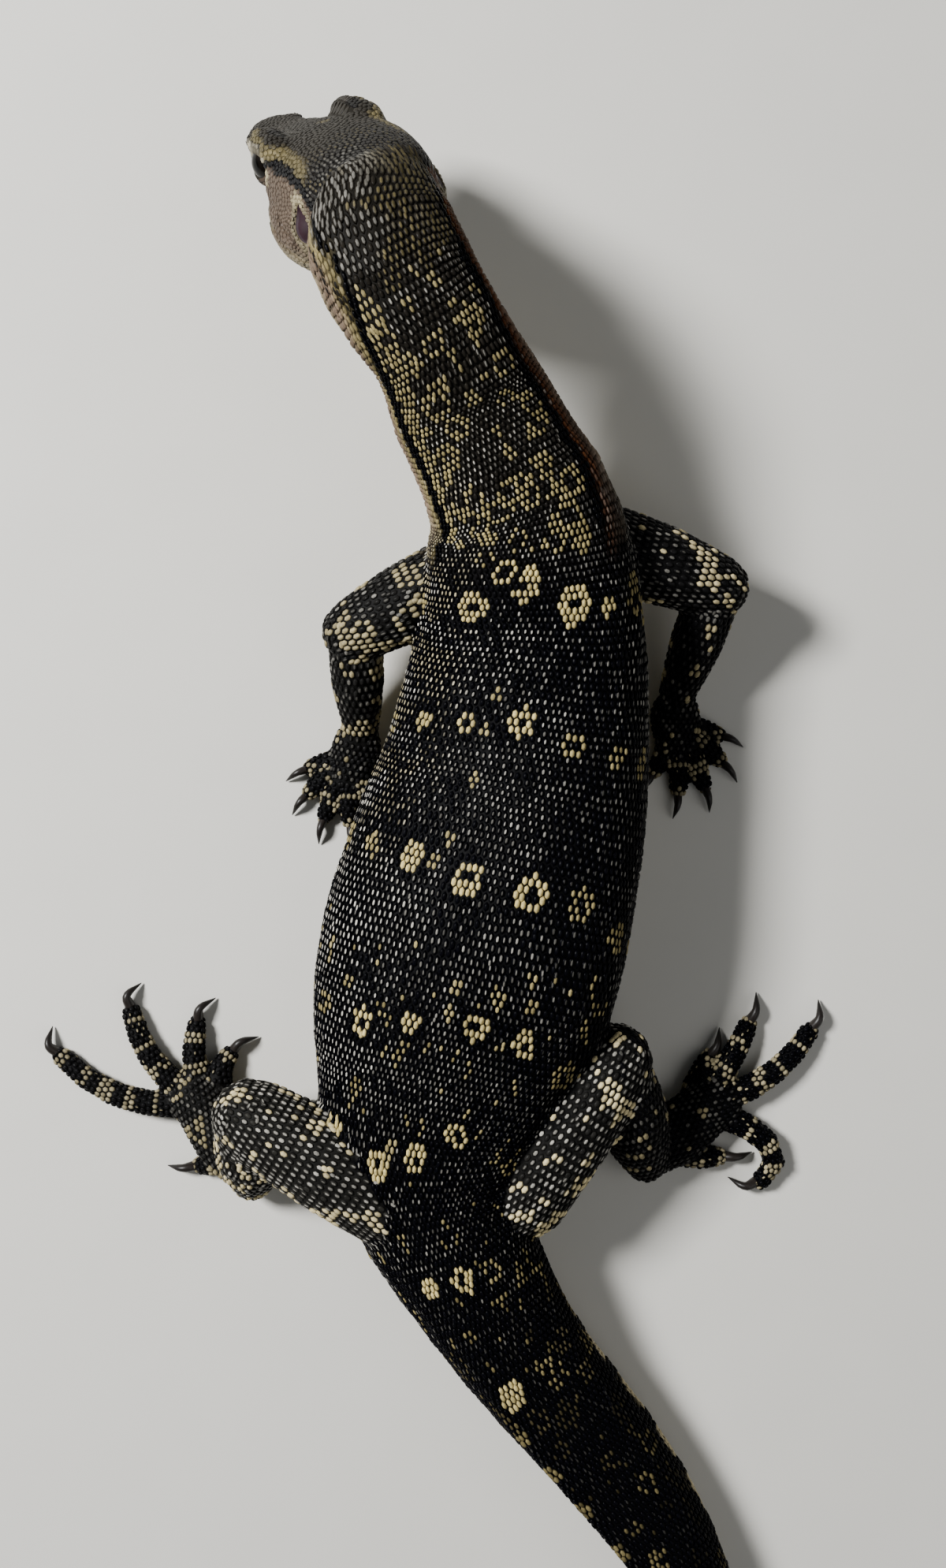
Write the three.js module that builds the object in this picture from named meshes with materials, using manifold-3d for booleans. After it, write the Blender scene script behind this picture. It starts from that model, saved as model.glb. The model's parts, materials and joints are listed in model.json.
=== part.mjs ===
// A young water monitor lizard at life size, resting on its belly with the chest propped on the arms
// and the head hanging forward over a raised neck. Lengths are in millimetres and angles in degrees.
// +Y runs towards the head, +X to the animal's right and +Z up from the floor it rests on.
import * as THREE from "three";
import { mergeVertices } from "three/addons/utils/BufferGeometryUtils.js";
import Module from "manifold-3d";

const wasm = await Module();
wasm.setup();

// Clearances and fineness
const GAP = 0.3; // space kept between neighbouring parts
const BELLY_SINK = 0.5; // how far a resting section would reach below the floor before it is cut flat
const MOST_SUNK = 0.25; // and the largest share of its half height that may be cut away
const MERGE = 1e-4; // vertices closer than this are one
const TRUNK_FINENESS = { sides: 26, step: 5.5 }; // sides of a ring and spacing of the rings
const TAIL_FINENESS = { sides: 16, step: 8 };
const SPINE_FINENESS = 800; // divisions over which the length of the body is measured
const HEAD_FINENESS = { sides: 26, stepsPerStation: 2 };
const MOUTH_FINENESS = 8; // steps along the line of the mouth
const SEARCH_STEPS = 20; // halvings that find a place along the head
const EYE_FINENESS = { around: 14, down: 8 };
const SWELLING_FINENESS = { around: 12, down: 8 };
const LIMB_FINENESS = { sides: 12, rings: 4, caps: [18, 50] }; // caps: angles of the rings that round the ends
const DIGIT_FINENESS = { sides: 6, rings: 4, caps: [35] };
const CLAW_FINENESS = { sides: 5, rings: 2, caps: [40] };
const LIP_FINENESS = { sides: 5, rings: 6, caps: [30] };

// Head, in its own frame: the origin is midway between the ears and +Y points to the snout
const HEAD_PLACE = [-15.3, 85.4, 32.9];
const HEAD_TURN = { pitch: -45, roll: 18.8, yaw: 40.5 };
const HEAD_BACK = -6.5; // the flat face that meets the neck
const HEAD_ROUNDNESS = 2.5; // exponent of the section's curve; 2 is an ellipse
// Stations along the head: distance forward, half width, height above and depth below the origin
const HEAD_PROFILE = [
  [-6.5, 8.8, 7.8, 8.8],
  [0, 10.0, 7.8, 8.6],
  [6, 10.9, 7.5, 8.1],
  [12.5, 10.7, 6.8, 7.3],
  [19, 8.0, 5.4, 6.4],
  [25, 5.9, 3.8, 5.6],
  [31, 4.7, 2.6, 4.9],
  [35.5, 4.0, 2.1, 4.2],
  [38, 3.2, 1.6, 3.4],
  [39.8, 1.7, 0.7, 2.0],
];
// Swellings and hollows on the right side, tilted about the line across the head
const JAW_MUSCLE = { centre: [8.4, 5.8, -3.8], radii: [4.5, 9.4, 5.8], tilt: 0 };
const BROW = { centre: [7.2, 16.4, 4.6], radii: [3.1, 7.2, 2.8], tilt: -2 };
const SNOUT_RIDGE = { centre: [3.4, 27, 1.3], radii: [1.7, 7.5, 1.7], tilt: -16 };
const NOSTRIL_SWELLING = { centre: [2.5, 34.2, 0.4], radii: [1.9, 3.2, 1.9], tilt: -10 };
const NOSTRIL = { centre: [4.2, 34.6, 0.9], radii: [0.9, 1.2, 0.6], tilt: 20 };
const EAR = { centre: [11.3, -1.8, -0.4], radii: [1.8, 1.5, 2.8], tilt: -24 };
const EYE_PLACE = [7.0, 17.8, 3.0];
const EYE_RADIUS = 2.7;
const LID_RADIUS = EYE_RADIUS + GAP + 0.6;
const LID_OPENING = { reach: 4, halfLength: 2.25, halfHeight: 1.7 };
const JAW_BLOCK_HALF_WIDTH = 16; // wider than the head
// The line of the mouth seen from the side, from the corner to the tip of the snout
const MOUTH = { cornerY: 7.5, cornerZ: -3.2, middleY: 22, middleZ: -2.7, tipY: 42, tipZ: -1.3 };
const JAW_HINGE = { y: 3, z: -10 }; // where the cut behind the jaw leaves the throat
const LIP = { radius: 0.75, rise: 0.75, inset: 0.45, from: 10, to: 36.5, steps: 9 };

// Body stations from inside the head to the tip of the tail: x, y, lift off the floor, width, height
// and roll of the back about the line of travel, positive to the right
const STATIONS = [
  [-18.0, 86.6, 23.8, 18.4, 16.8, 19],
  [-14.9, 82.6, 28.7, 19.2, 16.8, 18],
  [-13.2, 77.0, 30.8, 21.2, 17.0, 12],
  [-9.2, 69.2, 30.6, 20.6, 17.0, 6],
  [-4.1, 62.0, 27.8, 19.6, 17.0, 2],
  [-1.0, 56.3, 23.3, 22.0, 17.8, 0],
  [3.9, 47.9, 18.0, 24.0, 19.5, 0],
  [7.2, 41.2, 13.3, 28.0, 22.0, 0],
  [8.8, 30.5, 8.4, 32.0, 24.0, -5],
  [8.9, 22.2, 5.3, 34.6, 25.3, -8],
  [7.8, 11.6, 2.5, 38.4, 26.5, -14],
  [6.2, 0.6, 0.7, 42.0, 27.3, -17],
  [3.3, -11.2, 0, 45.6, 28.0, -18],
  [0.4, -22.7, 0, 47.2, 28.0, -16],
  [-2.3, -33.5, 0, 46.2, 27.0, -10],
  [-4.9, -44.0, 0, 40.6, 25.5, -9],
  [-7.0, -55.6, 0, 33.4, 23.5, -12],
  [-5.8, -66.0, 0, 27.6, 21.4, -18],
  [1.2, -80.5, 0, 23.0, 20.8, -26],
  [8.8, -92.2, 0, 19.4, 20.6, -34],
  [20.4, -105.8, 0, 15.6, 19.8, -40],
  [30.2, -119.6, 0, 12.8, 18.0, -36],
  [37.4, -135.6, 0, 11.0, 16.2, -26],
  [42.2, -156.0, 0, 9.6, 14.4, -17],
  [43.0, -180.0, 0, 8.3, 12.8, -11],
  [36.6, -205.0, 0, 7.1, 11.2, -8],
  [22.0, -227.0, 0, 5.9, 9.4, -6],
  [2.6, -246.0, 0, 4.6, 7.3, -5],
  [-17.0, -262.0, 0, 3.2, 4.9, -3],
  [-32.0, -279.0, 0, 1.6, 2.0, 0],
];
const TRUNK_ROUNDNESS = 2.25;
const TAIL_ROUNDNESS = 2.0;
// Distances along the body, back from its first station, where one length ends
const NECK_START = 3; // still inside the head, whose rear face cuts the neck
const NECK_END = 55;
const CHEST_END = 85;
const BELLY_END = 131;
const HIPS_END = 165;
const TAIL_PARTS = 5;
const CUTTING_LENGTHS = 5; // the neck, chest, belly, hips and first length of the tail part off the limbs
// The tail grows a keel along its upper edge over this stretch
const KEEL = { from: 157, to: 222, fade: 402, narrowing: 0.42, crest: 1.1, sharpness: 24 };

// Limbs: joints, and the radius at the root, the middle and the far end of each length
const ARMS = {
  left: {
    shoulder: [-3.0, 31.8, 16.5],
    elbow: [-18.6, 24.0, 14.2],
    wrist: [-18.2, 9.6, 4.2],
    palm: [-19.4, 4.4, 2.3],
    spread: [188, 212, 237, 260, 287],
    bend: 14,
    hook: 12,
  },
  right: {
    shoulder: [21.0, 36.8, 16.8],
    elbow: [38.2, 31.0, 13.8],
    wrist: [33.2, 14.8, 4.2],
    palm: [33.0, 9.6, 2.3],
    spread: [-6, -31, -57, -80, -108],
    bend: -14,
    hook: -12,
  },
};
const UPPER_ARM_RADII = [6.2, 5.9, 4.8];
const FOREARM_RADII = [4.0, 3.9, 2.6];
const PALM = { halfWidth: 3.9, halfHeight: 2.3 };
const FINGER_ROOT = 0.55; // the fingers' roots lie on a circle of this share of the palm's half width
const FINGER_LENGTHS = [5.4, 7.4, 8.8, 8.6, 6.0];
const FINGER_RADII = [1.75, 1.25];
const HAND_CLAW = { length: 3.9, radius: 0.9 };

// Each toe has its root, the direction it starts in, its turn up to the tip and the share of the way
// at which the turn gathers, its length, and the turn of the claw
const LEGS = {
  left: {
    hip: [-11.5, -65.6, 12.0],
    knee: [-34.6, -52.4, 14.0],
    ankle: [-35.8, -64.0, 4.8],
    sole: [-43.8, -53.6, 3.0],
    toes: [
      { root: [-41.6, -49.6], heading: 98, turn: -50, gather: 1, length: 5.6, hook: -35 },
      { root: [-44.8, -49.2], heading: 110, turn: -32, gather: 1, length: 9.8, hook: -45 },
      { root: [-47.2, -50.4], heading: 147, turn: -44, gather: 1, length: 16.2, hook: -60 },
      { root: [-47.6, -52.6], heading: 184, turn: -50, gather: 1, length: 22.4, hook: -50 },
      { root: [-39.6, -61.6], heading: 196, turn: -8, gather: 1, length: 5.4, hook: -10 },
    ],
  },
  right: {
    hip: [7.0, -64.0, 12.0],
    knee: [21.8, -43.6, 14.6],
    ankle: [28.0, -61.0, 4.8],
    sole: [37.6, -53.6, 3.0],
    toes: [
      { root: [36.4, -50.2], heading: 72, turn: -14, gather: 1, length: 5.4, hook: 20 },
      { root: [39.8, -49.2], heading: 56, turn: 8, gather: 1, length: 11.0, hook: 20 },
      { root: [41.8, -51.4], heading: 19, turn: 38, gather: 1, length: 17.6, hook: 30 },
      { root: [41.6, -54.6], heading: -24, turn: -140, gather: 2.4, length: 15.6, hook: -40 },
      { root: [34.0, -60.6], heading: -12, turn: 12, gather: 1, length: 6.6, hook: 10 },
    ],
  },
};
const LIMB_BULGE = 0.04; // upward bulge of a limb's length, as a share of it
const THIGH_RADII = [8.2, 7.5, 6.1];
const SHIN_RADII = [5.4, 5.7, 3.4];
const SOLE = { halfWidth: 4.9, halfHeight: 2.6 };
const TOE_RADII = [2.1, 1.4];
const FOOT_CLAW = { length: 4.6, radius: 1.05 };
const FLAT = { beyond: 0.5, frontRadius: 0.8, jointRadius: 0.95 }; // shape of a palm or sole, as shares
const DIGIT = { sink: 0.2, arch: 0.35, steps: 5 }; // sink: how far its underside is cut flat
const CLAW_RISE = 0.7; // the arch of a claw above its chord
const CLAW_TIP = { radius: 0.16, height: 0.5 };
const CLAW = { sunk: 0.3, straight: 0.62, hooked: 0.55, middleRadius: 0.75 }; // shares of radius and length

// Finishes
const FINISH = {
  skin_body: new THREE.MeshStandardMaterial({ color: 0x24211f, roughness: 0.55, metalness: 0 }),
  skin_head: new THREE.MeshStandardMaterial({ color: 0x5d5646, roughness: 0.6, metalness: 0 }),
  eye: new THREE.MeshStandardMaterial({ color: 0x0c0a09, roughness: 0.08, metalness: 0 }),
  claw: new THREE.MeshStandardMaterial({ color: 0x1d1816, roughness: 0.35, metalness: 0 }),
};

const UP = new THREE.Vector3(0, 0, 1);
const vector = (point) => new THREE.Vector3(...point);
const radians = THREE.MathUtils.degToRad;
const heading = (angle) => new THREE.Vector3(Math.cos(radians(angle)), Math.sin(radians(angle)), 0);

// Solids

/** Turns a closed three.js geometry into a solid that can be joined and cut. */
function solid(geometry) {
  geometry.deleteAttribute("normal");
  geometry.deleteAttribute("uv");
  const merged = mergeVertices(geometry, MERGE);
  return new wasm.Manifold(
    new wasm.Mesh({
      numProp: 3,
      vertProperties: new Float32Array(merged.attributes.position.array),
      triVerts: new Uint32Array(merged.index.array),
    }),
  );
}

/** The largest closed body of a solid, so that a cut leaves no loose scrap. */
function largest(shape) {
  return shape.decompose().reduce((best, piece) => (piece.volume() > best.volume() ? piece : best));
}

/** A three.js geometry of a solid's largest body. */
function geometryOf(shape) {
  const { vertProperties, triVerts } = largest(shape).getMesh();
  const geometry = new THREE.BufferGeometry();
  geometry.setAttribute("position", new THREE.BufferAttribute(vertProperties, 3));
  geometry.setIndex(new THREE.BufferAttribute(triVerts, 1));
  geometry.computeVertexNormals();
  return geometry;
}

const union = (shapes) => shapes.reduce((whole, shape) => whole.add(shape));
const floorCut = (shape) => shape.trimByPlane([0, 0, 1], 0);

function ellipsoid({ centre, radii, tilt = 0 }, { around, down } = SWELLING_FINENESS) {
  const ball = new THREE.SphereGeometry(1, around, down);
  ball.scale(...radii).rotateX(radians(tilt)).translate(...centre);
  return solid(ball);
}

/** Both the right-hand and the left-hand copy of an ellipsoid. */
function pairOfEllipsoids(form) {
  const [x, y, z] = form.centre;
  return ellipsoid(form).add(ellipsoid({ ...form, centre: [-x, y, z] }));
}

// Lofts

/** Width and height of a rounded section in the direction of an angle. */
function superellipse(angle, halfWidth, halfHeight, roundness) {
  const power = 2 / roundness;
  const across = Math.cos(angle);
  const above = Math.sin(angle);
  return [
    Math.sign(across) * Math.abs(across) ** power * halfWidth,
    Math.sign(above) * Math.abs(above) ** power * halfHeight,
  ];
}

/** A closed body through rings, each with a centre, its two axes and an outline(angle) across them. */
function loft(rings, sides) {
  const tube = new THREE.CylinderGeometry(1, 1, 1, sides, rings.length - 1);
  const { position } = tube.attributes;
  for (let i = 0; i < position.count; i += 1) {
    const ring = rings[Math.round((position.getY(i) + 0.5) * (rings.length - 1))];
    const reach = Math.min(1, Math.hypot(position.getX(i), position.getZ(i)));
    const [across, above] = ring.outline(Math.atan2(position.getZ(i), position.getX(i)));
    const point = ring.centre.clone();
    point.addScaledVector(ring.right, across * reach).addScaledVector(ring.up, above * reach);
    position.setXYZ(i, point.x, point.y, point.z);
  }
  return solid(tube);
}

/** The axes of a section square to a line of travel, level when its roll is nought. */
function axesOf(forward, roll = 0) {
  const right = new THREE.Vector3().crossVectors(forward, UP).normalize();
  right.applyAxisAngle(forward, radians(roll));
  return { right, up: new THREE.Vector3().crossVectors(right, forward) };
}

/** A limb or digit: a round-ended body along a curve, with radii spread evenly over its length. */
function taperedLimb(points, radii, { sides, rings, caps }, swell = 0, flatten = 1) {
  const curve = new THREE.CatmullRomCurve3(points);
  const girths = new THREE.CatmullRomCurve3(radii.map((radius) => new THREE.Vector3(radius + swell, 0, 0)));
  const stops = [];
  const addRing = (share, shift, scale) => {
    const forward = curve.getTangentAt(share);
    const radius = girths.getPoint(share).x;
    stops.push({
      centre: curve.getPointAt(share).addScaledVector(forward, shift * radius),
      ...axesOf(forward),
      outline: (angle) => [
        Math.cos(angle) * radius * scale,
        Math.sin(angle) * radius * scale * flatten,
      ],
    });
  };
  const capAngles = caps.map(radians);
  capAngles.forEach((angle) => addRing(0, -Math.cos(angle), Math.sin(angle)));
  for (let i = 0; i <= rings; i += 1) {
    addRing(i / rings, 0, 1);
  }
  capAngles.reverse().forEach((angle) => addRing(1, Math.cos(angle), Math.sin(angle)));
  return loft(stops, sides);
}

// The head

const headTurn = new THREE.Euler(
  radians(HEAD_TURN.pitch),
  radians(HEAD_TURN.roll),
  radians(HEAD_TURN.yaw),
  "ZXY",
);
const headForward = new THREE.Vector3(0, 1, 0).applyEuler(headTurn);
const headPlace = vector(HEAD_PLACE);

/** Half width, height and depth of the head at a distance forward of the ears. */
const headSizes = new THREE.CatmullRomCurve3(
  HEAD_PROFILE.map(([, halfWidth, above, below]) => new THREE.Vector3(halfWidth, above, below)),
);
const headLength = new THREE.CatmullRomCurve3(HEAD_PROFILE.map(([y]) => new THREE.Vector3(0, y, 0)));

function headSection(share) {
  const { x: halfWidth, y: above, z: below } = headSizes.getPoint(share);
  return { y: headLength.getPoint(share).y, halfWidth, above, below };
}

function headSectionAt(y) {
  let [near, far] = [0, 1];
  for (let i = 0; i < SEARCH_STEPS; i += 1) {
    const middle = (near + far) / 2;
    [near, far] = headSection(middle).y < y ? [middle, far] : [near, middle];
  }
  return headSection(near);
}

function headLoft() {
  const steps = HEAD_FINENESS.stepsPerStation * (HEAD_PROFILE.length - 1);
  const rings = Array.from({ length: steps + 1 }, (_, i) => {
    const section = headSection(i / steps);
    return {
      centre: new THREE.Vector3(0, section.y, 0),
      right: new THREE.Vector3(1, 0, 0),
      up: UP,
      outline: (angle) =>
        superellipse(
          angle,
          section.halfWidth,
          angle > 0 ? section.above : section.below,
          HEAD_ROUNDNESS,
        ),
    };
  });
  return loft(rings, HEAD_FINENESS.sides);
}

/** The curve of the mouth from its corner to the snout, seen from the side. */
const mouthLine = new THREE.QuadraticBezierCurve(
  new THREE.Vector2(MOUTH.cornerY, MOUTH.cornerZ),
  new THREE.Vector2(MOUTH.middleY, MOUTH.middleZ),
  new THREE.Vector2(MOUTH.tipY, MOUTH.tipZ),
);

/** A lip: a low round edge along the mouth on one side, above or below its line. */
function lip(side, rise) {
  const points = Array.from({ length: LIP.steps }, (_, i) => {
    const y = THREE.MathUtils.lerp(LIP.from, LIP.to, i / (LIP.steps - 1));
    const share = (y - MOUTH.cornerY) / (MOUTH.tipY - MOUTH.cornerY);
    const z = mouthLine.getPoint(share).y + rise;
    const { halfWidth, below } = headSectionAt(y);
    const across = halfWidth * (1 - Math.abs(z / below) ** HEAD_ROUNDNESS) ** (1 / HEAD_ROUNDNESS);
    return new THREE.Vector3(side * (across - LIP.inset), y, z);
  });
  return taperedLimb(points, [LIP.radius, LIP.radius], LIP_FINENESS);
}

/** The block that holds the lower jaw, grown by a margin on its upper and rear faces. */
function jawBlock(margin) {
  const shape = new THREE.Shape();
  shape.moveTo(MOUTH.tipY, JAW_HINGE.z - margin);
  shape.lineTo(MOUTH.tipY, MOUTH.tipZ + margin);
  mouthLine
    .getPoints(MOUTH_FINENESS)
    .reverse()
    .slice(1)
    .forEach(({ x, y }) => shape.lineTo(x - margin / 2, y + margin));
  shape.lineTo(JAW_HINGE.y - margin, JAW_HINGE.z - margin);
  shape.closePath();
  const depth = 2 * JAW_BLOCK_HALF_WIDTH;
  const block = new THREE.ExtrudeGeometry(shape, { depth, bevelEnabled: false });
  const sideways = new THREE.Matrix4().makeBasis(
    new THREE.Vector3(0, 1, 0),
    new THREE.Vector3(0, 0, 1),
    new THREE.Vector3(1, 0, 0),
  );
  block.applyMatrix4(sideways).translate(-JAW_BLOCK_HALF_WIDTH, 0, 0);
  return solid(block);
}

function eyeball(side, radius) {
  const [x, y, z] = EYE_PLACE;
  return ellipsoid({ centre: [side * x, y, z], radii: [radius, radius, radius] }, EYE_FINENESS);
}

/** The head before its jaw is parted from it, with lids, brows, lips, ears and nostrils. */
function wholeHead() {
  const sides = [-1, 1];
  const grown = union([
    headLoft(),
    pairOfEllipsoids(JAW_MUSCLE),
    pairOfEllipsoids(BROW),
    pairOfEllipsoids(SNOUT_RIDGE),
    pairOfEllipsoids(NOSTRIL_SWELLING),
    ...sides.map((side) => eyeball(side, LID_RADIUS)),
    ...sides.map((side) => lip(side, LIP.rise)),
    ...sides.map((side) => lip(side, -LIP.rise)),
  ]);
  const [eyeX, eyeY, eyeZ] = EYE_PLACE;
  const hollows = union([
    ...sides.map((side) => eyeball(side, EYE_RADIUS + GAP)),
    pairOfEllipsoids({
      centre: [eyeX + LID_OPENING.reach / 2, eyeY, eyeZ],
      radii: [LID_OPENING.reach, LID_OPENING.halfLength, LID_OPENING.halfHeight],
    }),
    pairOfEllipsoids(EAR),
    pairOfEllipsoids(NOSTRIL),
  ]);
  return grown.subtract(hollows).trimByPlane([0, 1, 0], HEAD_BACK);
}

// The body and tail

/** Height of a resting section's centre, so that its lowest edge is cut flat by the floor. */
function restHeight(width, height, roll) {
  const lowest = Math.hypot((width / 2) * Math.sin(radians(roll)), (height / 2) * Math.cos(radians(roll)));
  return lowest - Math.min(BELLY_SINK, lowest * MOST_SUNK);
}

// Both curves run from the tail's tip to the head, so that travel is forwards
const stations = [...STATIONS].reverse();
const spine = new THREE.CatmullRomCurve3(
  stations.map(([x, y, lift, width, height, roll]) =>
    new THREE.Vector3(x, y, lift + restHeight(width, height, roll))),
);
spine.arcLengthDivisions = SPINE_FINENESS;
const spineSizes = new THREE.CatmullRomCurve3(
  stations.map(([, , , width, height, roll]) => new THREE.Vector3(width, height, roll)),
  false,
  "catmullrom",
);
const spineLength = spine.getLength();

/** One ring of the body at a distance behind its first station. */
function bodyRing(distance, swell) {
  const share = spine.getUtoTmapping(1 - distance / spineLength);
  const { x: width, y: height, z: roll } = spineSizes.getPoint(share);
  const keel = THREE.MathUtils.smoothstep(distance, KEEL.from, KEEL.to);
  const fade = 1 - THREE.MathUtils.smoothstep(distance, KEEL.to, KEEL.fade);
  const roundness = THREE.MathUtils.lerp(TRUNK_ROUNDNESS, TAIL_ROUNDNESS, keel);
  return {
    centre: spine.getPoint(share),
    ...axesOf(spine.getTangent(share), roll),
    outline: (angle) => {
      const [across, above] = superellipse(angle, width / 2 + swell, height / 2 + swell, roundness);
      const upness = Math.max(0, Math.sin(angle));
      const ridge = KEEL.crest * keel * fade * upness ** KEEL.sharpness;
      return [across * (1 - KEEL.narrowing * keel * upness), above + ridge];
    },
  };
}

/** The lengths that the body is divided into, from the neck to the tip of the tail. */
const bodyLengths = [
  { name: "neck", from: NECK_START, to: NECK_END, fineness: TRUNK_FINENESS },
  { name: "chest", from: NECK_END, to: CHEST_END, fineness: TRUNK_FINENESS },
  { name: "belly", from: CHEST_END, to: BELLY_END, fineness: TRUNK_FINENESS },
  { name: "hips", from: BELLY_END, to: HIPS_END, fineness: TRUNK_FINENESS },
  ...Array.from({ length: TAIL_PARTS }, (_, i) => ({
    name: `tail_${i + 1}`,
    from: THREE.MathUtils.lerp(HIPS_END, spineLength, i / TAIL_PARTS),
    to: THREE.MathUtils.lerp(HIPS_END, spineLength, (i + 1) / TAIL_PARTS),
    fineness: TAIL_FINENESS,
  })),
];

/** One length of the body, grown by a swell that also closes the clearance at its ends. */
function bodyLength({ from, to, fineness }, swell = 0) {
  const count = Math.ceil((to - from) / fineness.step);
  const inset = (GAP - swell) / 2;
  const rings = Array.from({ length: count + 1 }, (_, i) =>
    bodyRing(THREE.MathUtils.lerp(to - inset, from + inset, i / count), swell));
  return loft(rings, fineness.sides);
}

/** The face that cuts the neck square where it meets the head. */
function cutAtNape(length) {
  const nape = headPlace.clone().addScaledVector(headForward, HEAD_BACK - GAP);
  const backwards = headForward.clone().negate();
  return length.trimByPlane(backwards.toArray(), backwards.dot(nape));
}

/** The trunk and the root of the tail grown by the gap, which cut the roots of the limbs. */
const trunkCutter = union(bodyLengths.slice(0, CUTTING_LENGTHS).map((length) => bodyLength(length, GAP)));

// Arms and legs

/** A limb's length between two joints, bulging upwards in its middle. */
function limbLength(from, to, radii, swell) {
  const [start, end] = [vector(from), vector(to)];
  const middle = start.clone().lerp(end, 0.5);
  middle.z += start.distanceTo(end) * LIMB_BULGE;
  return taperedLimb([start, middle, end], radii, LIMB_FINENESS, swell);
}

/** The flat of a hand or foot, from the wrist or ankle to the roots of the digits. */
function flatOf(joint, centre, { halfWidth, halfHeight }, jointRadius) {
  const [start, end] = [vector(joint), vector(centre)];
  const onward = end.clone().sub(start).setZ(0).normalize();
  const beyond = end.clone().addScaledVector(onward, halfWidth * FLAT.beyond);
  const ball = jointRadius * FLAT.jointRadius;
  const radii = [ball, halfWidth, halfWidth * FLAT.frontRadius];
  const body = taperedLimb([start, end, beyond], radii, LIMB_FINENESS, 0, halfHeight / halfWidth);
  return body.add(ellipsoid({ centre: joint, radii: [ball, ball, ball] }));
}

/** A digit's path: an arc over the floor from its root, turning evenly up to its tip. */
function digitPath({ root, heading: start, turn, gather, length }, radii) {
  const points = [];
  let [x, y] = root;
  for (let i = 0; i <= DIGIT.steps; i += 1) {
    const share = i / DIGIT.steps;
    const radius = THREE.MathUtils.lerp(radii[0], radii[1], share);
    const arch = Math.sin(share * Math.PI) * radius * DIGIT.arch;
    points.push(new THREE.Vector3(x, y, radius - DIGIT.sink + arch));
    const direction = heading(start + turn * ((i + 0.5) / DIGIT.steps) ** gather);
    x += (direction.x * length) / DIGIT.steps;
    y += (direction.y * length) / DIGIT.steps;
  }
  return points;
}

/** A claw growing from a digit's tip, arched down to the floor and hooked to one side. */
function claw(digit, tip, { length, radius }, digitGrown) {
  const start = heading(digit.heading + digit.turn);
  const end = heading(digit.heading + digit.turn + digit.hook);
  const root = tip.clone().addScaledVector(start, -radius * CLAW.sunk);
  const middle = root.clone().addScaledVector(start, length * CLAW.straight);
  middle.z += CLAW_RISE;
  const point = middle.clone().addScaledVector(end, length * CLAW.hooked).setZ(CLAW_TIP.height);
  const radii = [radius, radius * CLAW.middleRadius, CLAW_TIP.radius];
  return taperedLimb([root, middle, point], radii, CLAW_FINENESS).subtract(digitGrown);
}

/** A hand or foot with its five digits, and its claws as solids of their own. */
function extremity(flat, digits, radii, clawSizes, keepClear) {
  const paths = digits.map((digit) => digitPath(digit, radii));
  const digitSolids = (swell) => paths.map((path) => taperedLimb(path, radii, DIGIT_FINENESS, swell));
  const whole = floorCut(union([flat, ...digitSolids(0)])).subtract(keepClear);
  const grown = union(digitSolids(GAP));
  const claws = digits.map((digit, i) => floorCut(claw(digit, paths[i].at(-1), clawSizes, grown)));
  return { whole, claws };
}

/** The parts of one arm, from the shoulder to the claws. */
function arm({ shoulder, elbow, wrist, palm, spread, bend, hook }) {
  const upper = (swell) => limbLength(shoulder, elbow, UPPER_ARM_RADII, swell);
  const fore = (swell) => limbLength(elbow, wrist, FOREARM_RADII, swell);
  const fingers = spread.map((angle, i) => ({
    root: vector(palm).addScaledVector(heading(angle), PALM.halfWidth * FINGER_ROOT).toArray().slice(0, 2),
    heading: angle,
    turn: bend,
    gather: 1,
    length: FINGER_LENGTHS[i],
    hook,
  }));
  const keepClear = trunkCutter.add(upper(GAP)).add(fore(GAP));
  const flat = flatOf(wrist, palm, PALM, FOREARM_RADII.at(-1));
  const { whole, claws } = extremity(flat, fingers, FINGER_RADII, HAND_CLAW, keepClear);
  return {
    upper_arm: floorCut(upper(0).subtract(trunkCutter)),
    forearm: floorCut(fore(0).subtract(trunkCutter).subtract(upper(GAP))),
    hand: whole,
    claws,
  };
}

/** The parts of one leg, from the hip to the claws. */
function leg({ hip, knee, ankle, sole, toes }) {
  const thigh = (swell) => limbLength(hip, knee, THIGH_RADII, swell);
  const shin = (swell) => limbLength(knee, ankle, SHIN_RADII, swell);
  const keepClear = trunkCutter.add(thigh(GAP)).add(shin(GAP));
  const flat = flatOf(ankle, sole, SOLE, SHIN_RADII.at(-1));
  const { whole, claws } = extremity(flat, toes, TOE_RADII, FOOT_CLAW, keepClear);
  return {
    thigh: floorCut(thigh(0).subtract(trunkCutter)),
    shin: floorCut(shin(0).subtract(trunkCutter).subtract(thigh(GAP))),
    foot: whole,
    claws,
  };
}

// Assembly

const lizard = new THREE.Group();

function addPart(name, shape, finish, parent = lizard) {
  const mesh = new THREE.Mesh(geometryOf(shape), FINISH[finish]);
  mesh.name = name;
  parent.add(mesh);
}

function addHead() {
  const head = new THREE.Group();
  head.position.copy(headPlace);
  head.rotation.copy(headTurn);
  const whole = wholeHead();
  addPart("head", whole.subtract(jawBlock(GAP)), "skin_head", head);
  addPart("lower_jaw", whole.intersect(jawBlock(0)), "skin_head", head);
  addPart("eye_left", eyeball(-1, EYE_RADIUS), "eye", head);
  addPart("eye_right", eyeball(1, EYE_RADIUS), "eye", head);
  lizard.add(head);
}

function addBody() {
  bodyLengths.forEach((length) => {
    const shape = floorCut(bodyLength(length));
    addPart(length.name, length.name === "neck" ? cutAtNape(shape) : shape, "skin_body");
  });
}

function addLimb(parts, side) {
  const { claws, ...lengths } = parts;
  const last = Object.keys(lengths).at(-1);
  Object.entries(lengths).forEach(([name, shape]) => addPart(`${name}_${side}`, shape, "skin_body"));
  claws.forEach((shape, i) => addPart(`${last}_${side}_claw_${i + 1}`, shape, "claw"));
}

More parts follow.
